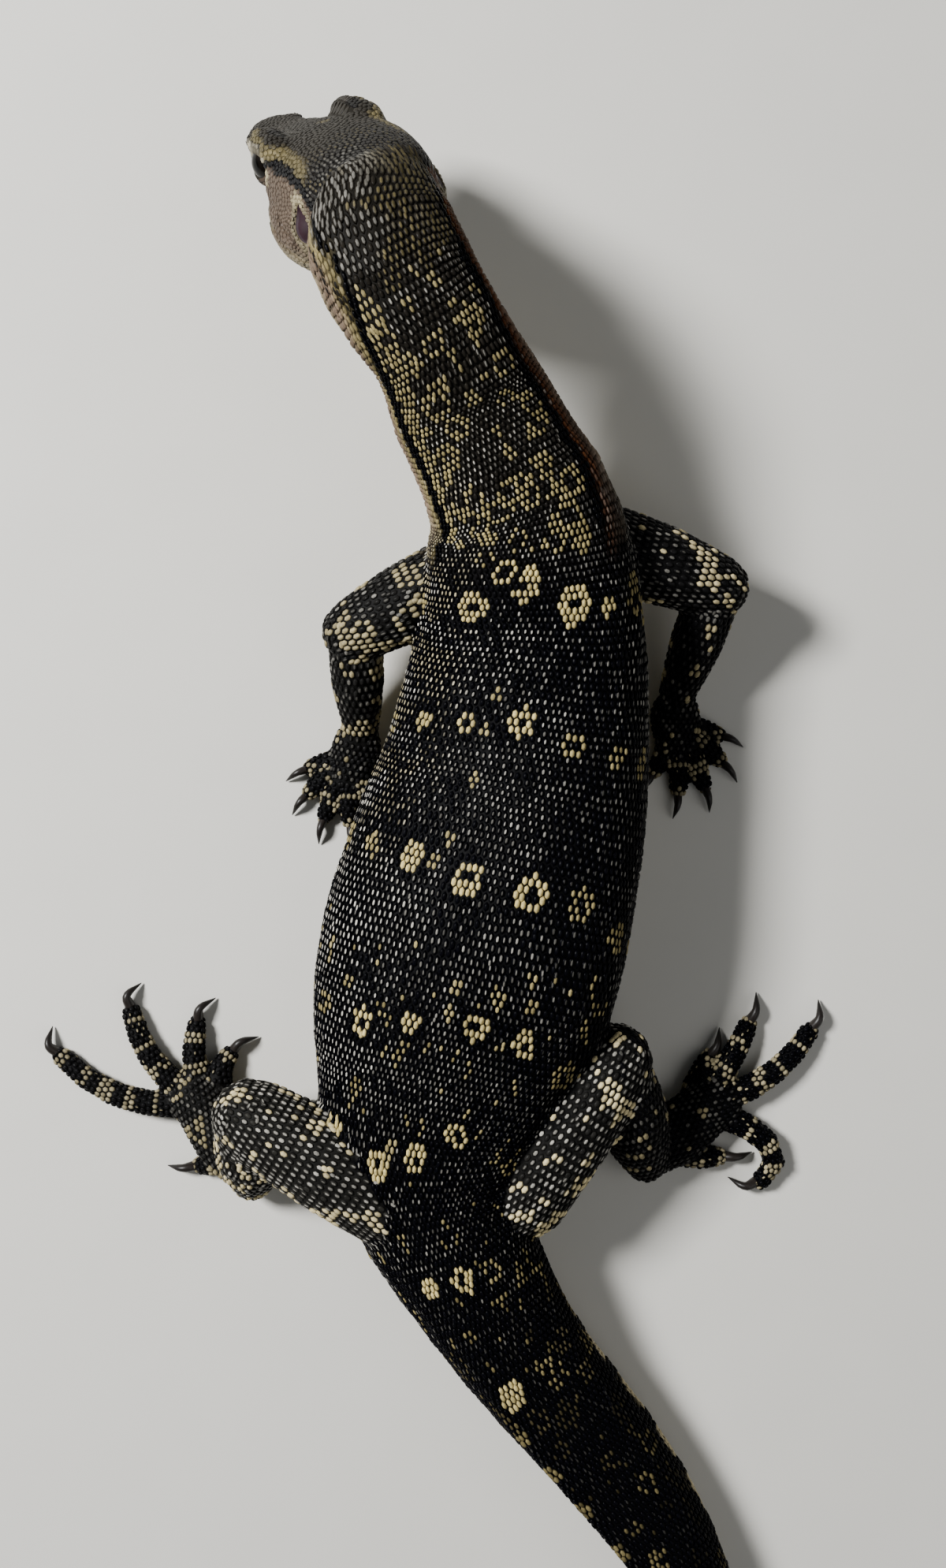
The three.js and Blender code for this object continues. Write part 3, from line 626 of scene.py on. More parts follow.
def tube_layout(points, radii, pitch, flatten=1.0, caps=(True, True), number=0, stretch=1.0):
    """Rings of scales round a limb or digit, over its rounded ends too."""
    curve = catmull_rom(points)
    girths = catmull_rom(np.array(radii)[:, None], centripetal=False)[:, 0]
    steps = np.concatenate([[0], np.cumsum(np.linalg.norm(np.diff(curve, axis=0), axis=1))])
    girths = np.interp(np.linspace(0, 1, len(curve)), np.linspace(0, 1, len(girths)), girths)
    total = steps[-1]
    before = radii[0] if caps[0] else 0
    after = radii[-1] if caps[1] else 0
    layout = empty_layout()
    rows = np.arange(-before + pitch / 2, total + after, pitch * stretch)
    for row, place in enumerate(rows):
        inside = np.clip(place, 0, total)
        centre = columns_at(steps, curve, [inside])[0]
        ahead = columns_at(steps, curve, [min(inside + CLOSE, total)])[0]
        behind = columns_at(steps, curve, [max(inside - CLOSE, 0)])[0]
        forward = unit(ahead - behind)
        radius = np.interp(inside, steps, girths)
        beyond = place - inside
        around = radius * math.sqrt(max(1 - (beyond / radius) ** 2, 0.02))
        right = unit(np.cross(forward, [0, 0, 1]))
        up = np.cross(right, forward)
        count = max(5, round(2 * math.pi * around / pitch))
        angles = (np.arange(count) + (row % 2) / 2) * 2 * math.pi / count
        outward = np.cos(angles)[:, None] * up * flatten + np.sin(angles)[:, None] * right
        layout["centre"].append(centre + forward * beyond + outward * around)
        layout["along"].append(np.tile(-forward, (count, 1)))
        half = [pitch * stretch * LIMB_SCALE["length"], pitch * LIMB_SCALE["width"]]
        layout["half"].append(np.tile(half, (count, 1)))
        spread = np.where(angles > math.pi, angles - 2 * math.pi, angles)
        layout["plan"].append(np.column_stack([spread * radii[0], np.full(count, place)]))
        layout["where"].append(np.column_stack([np.full(count, number), spread, np.full(count, place)]))
    return {key: np.concatenate(found) for key, found in layout.items()}


def head_spacing(points):
    """Spacing of the head's plates: full on the top, finer on the cheeks and finest round the eyes."""
    _, y, z = points.T
    size = np.interp(y, [-6, 4, 26, 36], [1.05, 1.0, 1.0, 0.85])
    size = size * (1 - 0.14 * smooth_step(3.5, 0, z) * smooth_step(24, 14, y))
    near_eye = np.linalg.norm(np.abs(points) - np.abs(EYE_PLACE), axis=1)
    near_ear = np.linalg.norm(np.abs(points * [1, 0, 0]) + points * [0, 1, 1] - EAR_PLACE, axis=1)
    size = size * (1 - 0.34 * smooth_step(5.2, 3.4, near_eye)) * (1 - 0.25 * smooth_step(5, 3.4, near_ear))
    return size * bpy.context.scene.monitor_scales.head_pitch / MM


def opening_share(points, side):
    """How far points of the head lie from the middle of an eye's opening; 1 is its edge."""
    radius = bpy.context.scene.monitor_eyes.radius / MM
    away = points - EYE_PLACE * [side, 1, 1]
    on_ball = unit(away) * radius
    along = (on_ball[:, 1] + EYE_OPENING["back"]) / EYE_OPENING["half_length"]
    upright = (on_ball[:, 2] - EYE_OPENING["up"]) / EYE_OPENING["half_height"]
    far = np.linalg.norm(away, axis=1) > radius + 2.4
    return np.where(far | (away[:, 0] * side < 0), 9, np.hypot(along, upright))


def ear_share(points, side):
    """How far points of the head lie from the middle of an ear; 1 is its edge."""
    away = points - EAR_PLACE * [side, 1, 1]
    along = (away[:, 1] + EAR["lean"] * away[:, 2]) / EAR["half_width"]
    return np.where(away[:, 0] * side < -3, 9, np.hypot(along, away[:, 2] / EAR["half_height"]))


def plate_rows(tree):
    """Rows of plates along both lips, and the broad ones over each eye, in the head's frame."""
    rows = []
    for side in (-1, 1):
        for lip in (-1, 1):
            y = LIP_ROW["from"]
            while y < LIP_ROW["to"]:
                z = mouth_height(y) + lip * LIP_ROW["offset"]
                rows.append(([0, y, z], [side, 0, 0], [0.56, 0.46]))
                y += LIP_ROW["step"]
        for y in np.arange(BROW_ROW["from"], BROW_ROW["to"], BROW_ROW["step"]):
            rows.append(([side * BROW_ROW["x"], y, 1.0], [0, 0, 1], [0.56, BROW_ROW["half_width"]]))
    centres, halves = [], []
    for start, heading, half in rows:
        hit = tree.ray_cast(Vector(from_head(start)), Vector(HEAD_AXES @ heading))
        if hit[0] is not None:
            centres.append(to_head(hit[0]))
            halves.append(half)
    return np.array(centres), np.array(halves)


def spread_evenly(points, spacing, rng, rounds=5):
    """Seeds among the points, each its own spacing from the next: thrown at random, then evened out."""
    seeds = np.full((len(points), 3), 1e6)
    count = 0
    for i in rng.permutation(len(points)):
        gaps = seeds[: count + 1] - points[i]
        if (gaps * gaps).sum(axis=1).min() > (THROW_GAP * spacing[i]) ** 2:
            seeds[count] = points[i]
            count += 1
    seeds = seeds[:count]
    for _ in range(rounds):
        tree = search_tree(seeds)
        nearest = np.array([tree.find(point)[1] for point in points])
        share = np.bincount(nearest, minlength=count)
        for axis in range(3):
            sums = np.bincount(nearest, weights=points[:, axis], minlength=count)
            seeds[:, axis] = np.where(share > 0, sums / np.maximum(share, 1), seeds[:, axis])
    tree = search_tree(seeds)
    around = np.array([np.mean([found[2] for found in tree.find_n(seed, 7)[1:]]) for seed in seeds])
    return seeds, around


def head_layout(tree, skin_points, rng):
    """Plates over the whole head: rows on the lips and brows, the rest set close and evenly."""
    points = to_head(skin_points)
    x, y, z = points.T
    clear = (y > HEAD_BACK - 0.2) & (skin_points[:, 1] > AHEAD)
    for side in (-1, 1):
        clear &= (opening_share(points, side) > 1.24) & (ear_share(points, side) > 1.1)
        gap = (points - NOSTRIL_PLACE * [side, 1, 1]) / [1.2, 0.9, 0.6]
        clear &= np.linalg.norm(gap, axis=1) > 1
    lips = np.abs(z - mouth_height(y))
    clear &= ~((lips < LIP_ROW["offset"] + 0.42) & (y > LIP_ROW["from"] - 0.5) & (y < LIP_ROW["to"]))
    clear &= ~((lips < 0.4) & (y > LIP_ROW["to"] - 1))
    brow = (np.abs(np.abs(x) - BROW_ROW["x"]) < BROW_ROW["half_width"]) & (z > 2)
    clear &= ~(brow & (y > BROW_ROW["from"] - 0.5) & (y < BROW_ROW["to"] - 0.4))
    points = points[clear]
    seeds, around = spread_evenly(points * HEAD_LIE, head_spacing(points), rng)
    rows, row_halves = plate_rows(tree)
    centres = np.concatenate([rows, seeds / HEAD_LIE])
    longer = smooth_step(6, 0, seeds[:, 1]) * 0.16
    halves = np.column_stack([around * (0.53 + longer), around * (0.5 - 0.25 * longer)])
    angles = np.arctan2(centres[:, 0], centres[:, 2] + 0.8)
    return {
        "centre": from_head(centres),
        "along": np.tile(HEAD_AXES @ [0.0, -1.0, 0.0], (len(centres), 1)),
        "half": np.concatenate([row_halves, halves]),
        "plan": np.column_stack([angles * 9, centres[:, 1]]),
        "where": centres,
    }


def mouth_height(y):
    """Height of the line of the mouth at a distance forward."""
    share = np.clip((y - MOUTH[0, 0]) / (MOUTH[2, 0] - MOUTH[0, 0]), 0, 1)
    return (1 - share) ** 2 * MOUTH[0, 1] + 2 * share * (1 - share) * MOUTH[1, 1] + share**2 * MOUTH[2, 1]


def keep(layout, mask):
    """The scales of a layout that the mask picks out."""
    return {key: values[mask] for key, values in layout.items()}


def settle(layout, tree, reach):
    """Puts each scale on the skin and gives it the skin's normal; those out of reach are left out."""
    found = []
    for point in layout["centre"]:
        hit = tree.find_nearest(Vector(point))
        found.append((*hit[0], *hit[1]))
    found = np.array(found)
    near = np.linalg.norm(found[:, :3] - layout["centre"], axis=1) < reach
    settled = dict(layout, centre=found[:, :3], normal=unit(found[:, 3:]))
    settled = keep(settled, near)
    lean = (settled["along"] * settled["normal"]).sum(axis=1)[:, None]
    settled["along"] = unit(settled["along"] - lean * settled["normal"])
    return settled


def thinned(layouts, closeness=0.6):
    """Leaves out scales of a later layout that crowd those of an earlier one."""
    taken = []
    result = []
    for layout in layouts:
        if taken:
            tree = search_tree(np.concatenate(taken))
            gaps = np.array([tree.find(point)[2] for point in layout["centre"]])
            layout = keep(layout, gaps > layout["half"][:, 1] * 2 * closeness)
        taken.append(layout["centre"])
        result.append(layout)
    return result


def filled(layouts, tree, points):
    """Adds a scale wherever the skin lies bare, like the nearest one that is there."""
    centres = np.concatenate([layout["centre"] for layout in layouts.values()])
    widths = np.concatenate([layout["half"][:, 1] for layout in layouts.values()]) * 2
    near = search_tree(centres)
    bare = []
    for point in points:
        _, i, gap = near.find(point)
        if gap > BARE * widths[i]:
            bare.append((gap / widths[i], i, point))
    bare.sort(key=lambda item: -item[0])
    added = {}
    places = np.full((len(bare) + 1, 3), 1e6)
    for _, i, point in bare:
        gaps = np.linalg.norm(places[: len(added) + 1] - point, axis=1)
        if gaps.min() > 0.85 * widths[i]:
            places[len(added)] = point
            added[len(added)] = i
    owners = np.array(list(added.values()), int)
    result, start = {}, 0
    for name, layout in layouts.items():
        end = start + len(layout["centre"])
        mine = (owners >= start) & (owners < end)
        extra = {key: values[owners[mine] - start] for key, values in layout.items()}
        shift = places[: len(added)][mine] - extra["centre"]
        sideways = np.cross(extra["along"], extra["normal"])
        moved = [(shift * sideways).sum(axis=1), -(shift * extra["along"]).sum(axis=1)]
        extra["plan"] = extra["plan"] + np.column_stack(moved)
        extra["centre"] = places[: len(added)][mine]
        extra = settle(extra, tree, 1.0) if mine.any() else extra
        result[name] = {key: np.concatenate([layout[key], extra[key]]) for key in layout}
        start = end
    return result


# Scales: their markings

NO_FLECK = -0.3
SCALE_CORNERS = 18
# The skin is darker than its scales as painted shade in the gaps between them
BARE_SHADE = (0.5, 0.85)  # brightness of the skin beside that of its scales, on the body and the head
FLOOR_GAP = 0.02  # no scale reaches lower than this above the floor
SKIN_GAP = 0.05  # nor the skin lower than this
CLAW_GAP = 0.45  # height of a claw's point
PATCH = 0.0015  # half size of a scale's patch on its map


def colours():
    group = bpy.context.scene.monitor_colours
    return {name: np.array(getattr(group, name)) for name in group.__annotations__}


def body_spots():
    """All ringed spots: those of the back, more down the flanks, and those of the tail."""
    rng = np.random.default_rng(5)
    spots = list(SPOTS)
    for distance, left, right in FLANK_ROWS:
        for side, outer in ((-1, left), (1, right)):
            for step in range(1, 4):
                shift = rng.normal(0, 0.8, 2)
                place = (distance + shift[0] + 1.5 * step, outer + side * 6.8 * step + shift[1])
                spots.append((*place, rng.uniform(1.5, 2.2), rng.choice([0, 0.5, 0.8]), 0.5))
    for distance in np.arange(189, 404, 7.6):
        size = np.interp(distance, [189, 404], [1.8, 1.0])
        for side in (-1, 1):
            for step in range(4):
                shift = rng.normal(0, 1.2, 2)
                place = (distance + shift[0] + 3.5 * (step % 2), side * (3.4 + size * 3.2 * step) + shift[1])
                if rng.random() < 0.72:
                    width = size * rng.uniform(0.7, 1.15)
                    spots.append((*place, width, width * 0.35, rng.uniform(0.1, 0.55)))
    return spots


def neck_clusters():
    """Clusters and rings of tan scales on the neck, in uneven rows."""
    rng = np.random.default_rng(8)
    clusters = []
    for row, distance in enumerate(np.arange(19.5, 66, 3.9)):
        for offset in np.arange(-10 + 2 * (row % 2), 9.5, 4.0):
            shift = rng.normal(0, 0.85, 2)
            width = rng.uniform(0.8, 2.2)
            dark = width * rng.uniform(0.35, 0.6) if width > 1.45 else 0
            if rng.random() < 0.88:
                clusters.append((distance + shift[0], offset + shift[1], width, dark, rng.uniform(0.8, 1.5)))
    return clusters


# Share of the scales that carry a fleck, and how bright the flecks are, at distances along the body
FLECKED = (
    [0, 14, 24, 50, 66, 80, 128, 146, 165, 230, 424],
    [0.85, 0.8, 0.75, 0.75, 0.8, 0.95, 0.93, 0.85, 0.6, 0.2, 0.12],
)
# The flecks dim towards the hips and the tail partly as painted shade, where the tail turns away from the
# light
FLECK_LIGHT = (
    [0, 24, 66, 78, 96, 130, 150, 165, 185, 210, 424],
    [0.9, 1, 1.4, 2, 1, 0.9, 0.75, 0.75, 0.5, 0.1, 0.05],
)


def body_marks(beads, rng):
    """Ground colour, pale colour and width of the pale middle of each scale of neck, trunk and tail."""
    tone = colours()
    distance, offset, girth = beads["where"].T
    count = len(distance)
    plan = np.column_stack([distance, offset])
    share = np.abs(offset) / girth
    chance, size, light, dull = rng.random((4, count))
    broad = lattice_noise(plan, 7, 3)
    fine = lattice_noise(plan, 2.6, 4)
    streaks = lattice_noise(plan / [2.4, 1], 1.2, 8)
    side = smooth_step(-4, 4, offset + 6 * (lattice_noise(plan, 5, 9) - 0.5))

    # Blue-black ground with a narrow pale streak along most scales: partly real flecks, partly painted
    # highlights along each scale's ridge
    ground = tone["back"] * (0.7 + 0.6 * dull[:, None])
    density = np.interp(distance, *FLECKED) * (0.62 + 0.7 * broad)
    # More flecks on the left flank and fewer on the right: partly painted light, the left flank lit and the
    # right in shade
    density = density * np.interp(offset, [-16, -8, 7, 16], [1.15, 1, 1, 0.65])
    fleck = np.where(chance < density, 0.07 + 0.27 * size, NO_FLECK)
    bright = (0.16 + 0.84 * light**1.6) * (0.55 + 0.75 * broad) * np.interp(distance, *FLECK_LIGHT)
    # Flecks brightest on the left flank and dimmest on the right: painted light and shade, lit from the left
    bright = bright * np.interp(offset, [-18, -10, -4, 7, 15], [1.9, 1.45, 0.72, 0.65, 0.45])
    tawny = smooth_step(-4, -12, offset) * smooth_step(0.35, 0.6, fine) * smooth_step(125, 105, distance)
    pale = mix(tone["fleck"], tone["tan"], 0.75 * tawny) * np.clip(bright, 0.05, 1)[:, None]
    ridge = (distance > 125) & (streaks > 0.82) & (distance < 230)
    streak = mix(tone["tan"], tone["spot"], 0.5) * (0.35 + 0.5 * light[:, None])
    # Ridge streaks dim along the body with the flecks, partly as painted shade
    pale = np.where(ridge[:, None], streak * np.interp(distance, *FLECK_LIGHT)[:, None], pale)
    fleck = np.where(ridge, 0.35 + 0.3 * size, fleck)

    # Nape: greyish streaks on the left, brown beads on the right, dark patches between
    nape = distance < 21 + 5 * (fine - 0.5)
    soft = smooth_step(24, 8, distance) * 0.3 + smooth_step(74, 40, distance) * 0.7
    ground = mix(ground, tone["brown"] * (0.7 + 0.5 * light[:, None]), soft)
    greyish = mix(tone["fleck"] * 0.27, tone["tan"] * 0.34, smooth_step(0.6, 0.8, fine))
    brownish = mix(greyish, tone["tan"] * 0.18, side) * (0.45 + 0.7 * light[:, None])
    pale = np.where(nape[:, None], brownish, pale)
    on_nape = (chance < 0.92) & (broad < 0.8)
    fleck = np.where(nape, np.where(on_nape, 0.2 + 0.3 * size + 0.1 * side, NO_FLECK), fleck)

    # Clusters and rings of tan scales on the neck
    warped = plan + 1.6 * (np.column_stack([lattice_noise(plan, 4, seed) for seed in (61, 62)]) - 0.5)
    clustered = np.zeros(count, bool)
    for place, across, width, dark, aspect in neck_clusters():
        gap = np.hypot((warped[:, 0] - place) / aspect, warped[:, 1] - across)
        clustered |= (gap < width) & (gap > dark)
    left, right = (np.interp(distance, *STRIPES[name]) for name in ("left", "right"))
    band = np.interp(distance, [19, 27, 36, 44, 54], [2.6, 4.2, 3.2, 2.0, 1.6])
    banded = (np.abs(offset - left - 0.7 - band / 2) < band / 2) & (distance > 18) & (distance < 58)
    tan = mix(tone["tan"], tone["spot"] * 0.85, smooth_step(24, 66, distance) * 0.7)
    # Tan beads dim towards the right side of the neck: painted shade, that side facing away from the light
    tan = tan * (0.45 + 0.45 * light[:, None]) * np.interp(offset, [3, 9], [1, 0.6])[:, None]
    on = ((clustered & (chance < 0.93)) | (banded & (chance < 0.9))) & ~nape & (distance < 68)
    pale = np.where(on[:, None], tan, pale)
    fleck = np.where(on, 0.58 + 0.24 * size, fleck)

    # Dark stripe on each side of the neck; below it narrow lines, then the pale throat
    fade = 1 - smooth_step(50, 64, distance + 12 * (broad - 0.5) + 6 * (fine - 0.5))
    lines = 0.45 + 0.9 * lattice_noise(plan / [7, 1], 1, 12)[:, None]
    half_stripe = np.interp(distance, [3, 14, 18, 23, 60], [0.65, 0.6, 0.4, 0.9, 0.9])
    for stripe, way in ((left, -1), (right, 1)):
        beside = (offset - stripe) * way + 0.5 * (fine - 0.5)
        below = smooth_step(0, 0.4, beside - half_stripe) * fade
        near = tone["rust"] * 0.7 if way > 0 else tone["tan"] * 0.45
        under = mix(near, tone["cheek"] * 1.5, smooth_step(1.5, 4.5, beside)) * lines
        under = mix(under, tone["cream"] * 0.7, smooth_step(5, 11, beside))
        ground = mix(ground, under * 1.2, below)
        pale = mix(pale, under * 1.15, below)
        fleck = np.where(below > 0.5, 0.62 + 0.2 * size, fleck)
        on_stripe = (np.abs(beside) < half_stripe) & (fade > 0.3)
        fleck = np.where(on_stripe, NO_FLECK, fleck)
        ground = np.where(on_stripe[:, None], tone["back"] * 0.6, ground)
    # Painted shade along the creases on the left side of the neck
    for (start, first), (end, last) in CREASE_SHADES:
        line = np.interp(distance, [start, end], [first, last])
        in_crease_shade = (np.abs(offset - line) < 0.5) & (distance > start) & (distance < end)
        pale = np.where(in_crease_shade[:, None], tone["brown"] * 0.5, pale)

    # Ringed spots
    for place, across, width, dark, strength in body_spots():
        gap = np.hypot((distance - place) / SPOT_ASPECT, offset - across) + 0.5 * (fine - 0.5)
        on = (gap < width) & (gap >= dark) & (chance < 0.75 + 0.3 * strength)
        halo = (gap < width + 0.9) & ~on & (strength > 0.6)
        fleck = np.where(halo, NO_FLECK, fleck)
        shade = mix(tone["brown"] * 2, tone["spot"], strength) * (0.6 + 0.4 * light[:, None])
        # Weak spots, most of them on the tail, and all spots far down the tail are dimmed: partly painted
        # shade of the tail, which lies out of the light
        shade = shade * np.interp(strength, [0.1, 0.6], [0.3, 1]) * (0.4 if place > 205 else 1)
        pale = np.where(on[:, None], shade, pale)
        fleck = np.where(on, np.interp(strength, [0.2, 0.5, 0.9], [0.4, 0.65, 1.3]), fleck)
    for place, across in SMALL_MARKS:
        on = np.hypot((distance - place) / 2, offset - across) < 0.75
        pale = np.where(on[:, None], tone["tan"] * (0.7 + 0.4 * light[:, None]), pale)
        fleck = np.where(on, 0.7, fleck)

    # Pale marks along the crest of the tail, kept dim as painted shade of the tail
    crest = (np.abs(offset) < 1.3) & (distance > 203) & (np.mod(distance + 4 * broad, 8.5) < 3)
    shade = mix(tone["tan"], tone["spot"], 0.4) * (0.12 + 0.25 * light[:, None])
    pale = np.where(crest[:, None], shade, pale)
    fleck = np.where(crest, 0.9, fleck)

    # Belly, with the dark points that run down on it
    points = np.maximum(0, np.cos(2 * math.pi * distance / 9.5)) ** 2
    edge = np.interp(distance, [0, 60, 165, 260, 424], [0.55, 0.6, 0.64, 0.76, 0.92])
    under = smooth_step(0, 0.03, share - edge - 0.13 * points - 0.05 * (fine - 0.5))
    ground = mix(ground, tone["cream"] * 0.6, under)
    pale = mix(pale, tone["cream"] * (0.9 + 0.1 * light[:, None]), under)
    fleck = np.where(under > 0.5, 0.85, fleck)
    height = np.interp(distance, [3, 24], [0.36, 1]) * (1 - 0.4 * under)
    return ground, pale, fleck, height


def blot(offsets, *sizes):
    """1 inside an ellipse of the given half sizes, passing to 0 round its edge."""
    return smooth_step(1.25, 0.8, np.linalg.norm(np.column_stack(offsets) / sizes, axis=1))


def head_marks(beads, rng):
    """Ground colour, pale colour and width of the pale middle of each plate of the head."""
    tone = colours()
    points = to_head(beads["centre"])
    x, y, z = points.T
    count = len(x)
    light, size, chance = rng.random((3, count))
    broad = lattice_noise(points, 4.5, 21)
    fine = lattice_noise(points, 1.6, 22)
    side = np.abs(x)
    ground = tone["brown"] * (0.6 + 0.46 * broad + 0.26 * fine)[:, None] * (0.88 + 0.24 * light[:, None])

    # Back of the head passes into the flecked nape
    nape = smooth_step(8, -2, y + 3 * (broad - 0.5)) * smooth_step(-1, 2.5, z)
    ground = mix(ground, mix(tone["back"], tone["brown"], 0.4), nape)
    greyish = mix(tone["fleck"] * 0.17, tone["tan"] * 0.2, smooth_step(0.6, 0.8, fine))
    brownish = mix(greyish, tone["tan"] * 0.12, np.maximum(smooth_step(-4, 4, x), smooth_step(-4, 3, y)))
    pale = brownish * (0.4 + 0.8 * light[:, None])
    fleck = np.where((nape > 0.3) & (chance < 0.75), 0.02 + 0.3 * size * nape, NO_FLECK)

    # Cheeks, jaws and throat
    eye_line = np.interp(y, *HEAD_STRIPE)
    behind_eye = smooth_step(18, 16, y)
    low = smooth_step(0.3, -0.5, z - eye_line) * behind_eye
    ahead = smooth_step(14, 18, y) * smooth_step(0.8, -1.4, z)
    lower = np.maximum(low, ahead)
    cheek = mix(tone["cheek"], tone["cream"] * 0.45, smooth_step(-3.5, -7.5, z) * 0.8)
    cheek = cheek * (0.66 + 0.32 * broad + 0.24 * fine)[:, None] * (0.9 + 0.2 * light[:, None])
    ground = mix(ground, cheek, lower)
    lips = smooth_step(1.9, 1.2, np.abs(z - mouth_height(y))) * smooth_step(8, 11, y)
    bars = smooth_step(0.35, 0.75, np.sin(y * 1.15 + 0.6))
    ground = mix(ground, tone["cream"] * 0.42, lips * 0.75)
    ground = mix(ground, tone["brown"] * 0.6, lips * bars * 0.75)
    fleck = np.where(lower > 0.5, NO_FLECK, fleck)

    # Black stripe from the eye over the ear, with a tan band above it
    gap = z - eye_line
    stripe = smooth_step(0.85, 0.5, np.abs(gap)) * behind_eye * smooth_step(5.5, 6.5, side)
    above = smooth_step(0.55, 0.8, gap) * smooth_step(2.2, 1.6, gap) * smooth_step(-1, 2, y) * behind_eye
    band = tone["tan"] * (0.2 + 0.13 * light + 0.2 * smooth_step(8, 13, y))[:, None]
    ground = mix(ground, band, above * smooth_step(6.4, 7.4, side) * 0.9)
    ground = mix(ground, tone["back"] * 0.7, stripe)
    fleck = np.where((stripe > 0.3) | (above > 0.3), NO_FLECK, fleck)

    # Pale lids, a tan edge over them, pale spots behind the eye and over the ear, and the ear's rim
    for way in (-1, 1):
        outer = smooth_step(6.8, 7.8, x * way)
        lid = blot((y - 17.2, z - 5.0), 4.2, 0.95) * outer
        ground = mix(ground, mix(tone["cream"], tone["fleck"], 0.4) * 0.8, lid * 0.95)
        edge = blot((y - 17.5, z - 6.6), 4.6, 0.4) * outer
        ground = mix(ground, tone["tan"] * 0.3, edge * 0.8)
        spots = blot((y - 12.2, z - 2.8), 0.8, 1.0) + blot((y - 1.2, z - 2.3), 1.5, 1.0)
        ring = smooth_step(1.85, 1.5, ear_share(points, way))
        ground = mix(ground, tone["cream"] * 0.3, ring * 0.8)
        ground = mix(ground, tone["cream"] * 0.55, np.clip(spots, 0, 1) * outer)
        fleck = np.where(ring > 0.3, NO_FLECK, fleck)

    # Pineal spot, and the dark spots of the brows
    pineal = blot((x - 1.2, y - 14.1), 0.9, 1.3) * (z > 0)
    ground = mix(ground, tone["tan"] * 0.2, pineal * 0.8)
    for place, across in ((14.9, 6.4), (22.5, 3.6)):
        dark = blot((side - across, y - place), 0.9, 1.6) * (z > 0)
        ground = mix(ground, tone["back"], dark * 0.7)
    return ground, pale, fleck, np.where(lower > 0.5, 0.7, 1.0) * np.interp(y, [-6.5, 3], [1.25, 1])


def limb_marks(beads, rng, pale_share, grey, brightness):
    """Black scales with clusters of large pale ones; grey makes the ground and small flecks paler, partly as
    painted sheen on the lit limbs.
    """
    tone = colours()
    points = beads["centre"]
    count = len(points)
    light, size, chance, lone = rng.random((4, count))
    clusters = lattice_noise(points, 2.2, 31)
    # A greyer ground where grey is high: partly painted sheen of the lit limbs
    ground = mix(tone["back"], tone["fleck"] * 0.035, grey) * (0.7 + 0.6 * light[:, None])
    cut = np.quantile(clusters, 1 - pale_share)
    large = ((clusters > cut) & (chance < 0.9)) | (lone < 0.025)
    small = (chance < 0.55 + 0.4 * grey) & ~large
    spot = mix(tone["spot"], tone["fleck"], 0.3) * (0.6 + 0.4 * light[:, None])
    dim = tone["fleck"] * (0.08 + 0.5 * grey + 0.5 * size**2)[:, None] * (0.3 + 0.5 * light[:, None])
    pale = np.where(large[:, None], spot, dim) * brightness
    fleck = np.where(large, 0.75 + 0.5 * size, np.where(small, 0.1 + 0.45 * size, NO_FLECK))
    under = smooth_step(-0.35, -0.75, beads["normal"][:, 2])
    ground = mix(ground, tone["cream"] * 0.5, under)
    pale = mix(pale, tone["cream"], under)
    return ground, pale, np.where(under > 0.5, 0.8, fleck), np.where(large, 1.1, 0.9)


def digit_marks(beads, rng, pale_share, grey, brightness):
    """Black toes with broken pale bands."""
    tone = colours()
    number, spread, place = beads["where"].T
    count = len(place)
    light, size, chance = rng.random((3, count))
    swing = 0.5 * np.cos(spread) + 0.4 * np.sin(5 * number + place)
    bands = np.mod(place + 1.7 * number + swing, 4.4) < 1.75
    bands &= (place > 1.2) & (chance < pale_share)
    # A greyer ground where grey is high: partly painted sheen of the lit digits
    ground = mix(tone["back"], tone["fleck"] * 0.06, grey) * (0.7 + 0.6 * light[:, None])
    pale = mix(tone["fleck"], tone["spot"], 0.6) * (0.5 + 0.5 * light[:, None]) * brightness
    small = np.where(chance < 0.15 + 0.2 * grey, 0.05 + 0.2 * size, NO_FLECK)
    return ground, pale, np.where(bands, 0.8 + 0.4 * size, small), np.ones(count)


# Scales: their shape


def dome(shoulder, rise, ridge):
    """One closed scale: a six-sided dome with a low ridge along it, its rim at the skin's level.

    Its corners come with their share of the way from the ridge out to the rim.
    """
    bm = bmesh.new()
    bmesh.ops.create_cone(bm, cap_ends=True, segments=6, radius1=1, radius2=1, depth=1)
    top = max(bm.faces, key=lambda face: face.calc_center_median().z)
    bmesh.ops.inset_individual(bm, faces=[top], thickness=0.3)
    ridge_corners = set(top.verts)
    first = top.verts[0].co
    turn = math.pi / 2 - math.atan2(first.y, first.x)
    shares = []
    bm.verts.index_update()
    for vertex in bm.verts:
        angle = math.atan2(vertex.co.y, vertex.co.x) + turn
        if vertex in ridge_corners:
            width, length, height, share = *ridge, 1.0, 0.0
        elif vertex.co.z > 0:
            width, length, height, share = shoulder, shoulder, rise, 0.6
        else:
            width, length, height, share = 1.0, 1.0, -0.15, 1.0
        vertex.co = (math.cos(angle) * width, math.sin(angle) * length, height)
        shares.append(share)
    points = np.array([vertex.co[:] for vertex in bm.verts])
    faces = [[vertex.index for vertex in face.verts] for face in bm.faces]
    bm.free()
    return points, faces, np.array(shares)


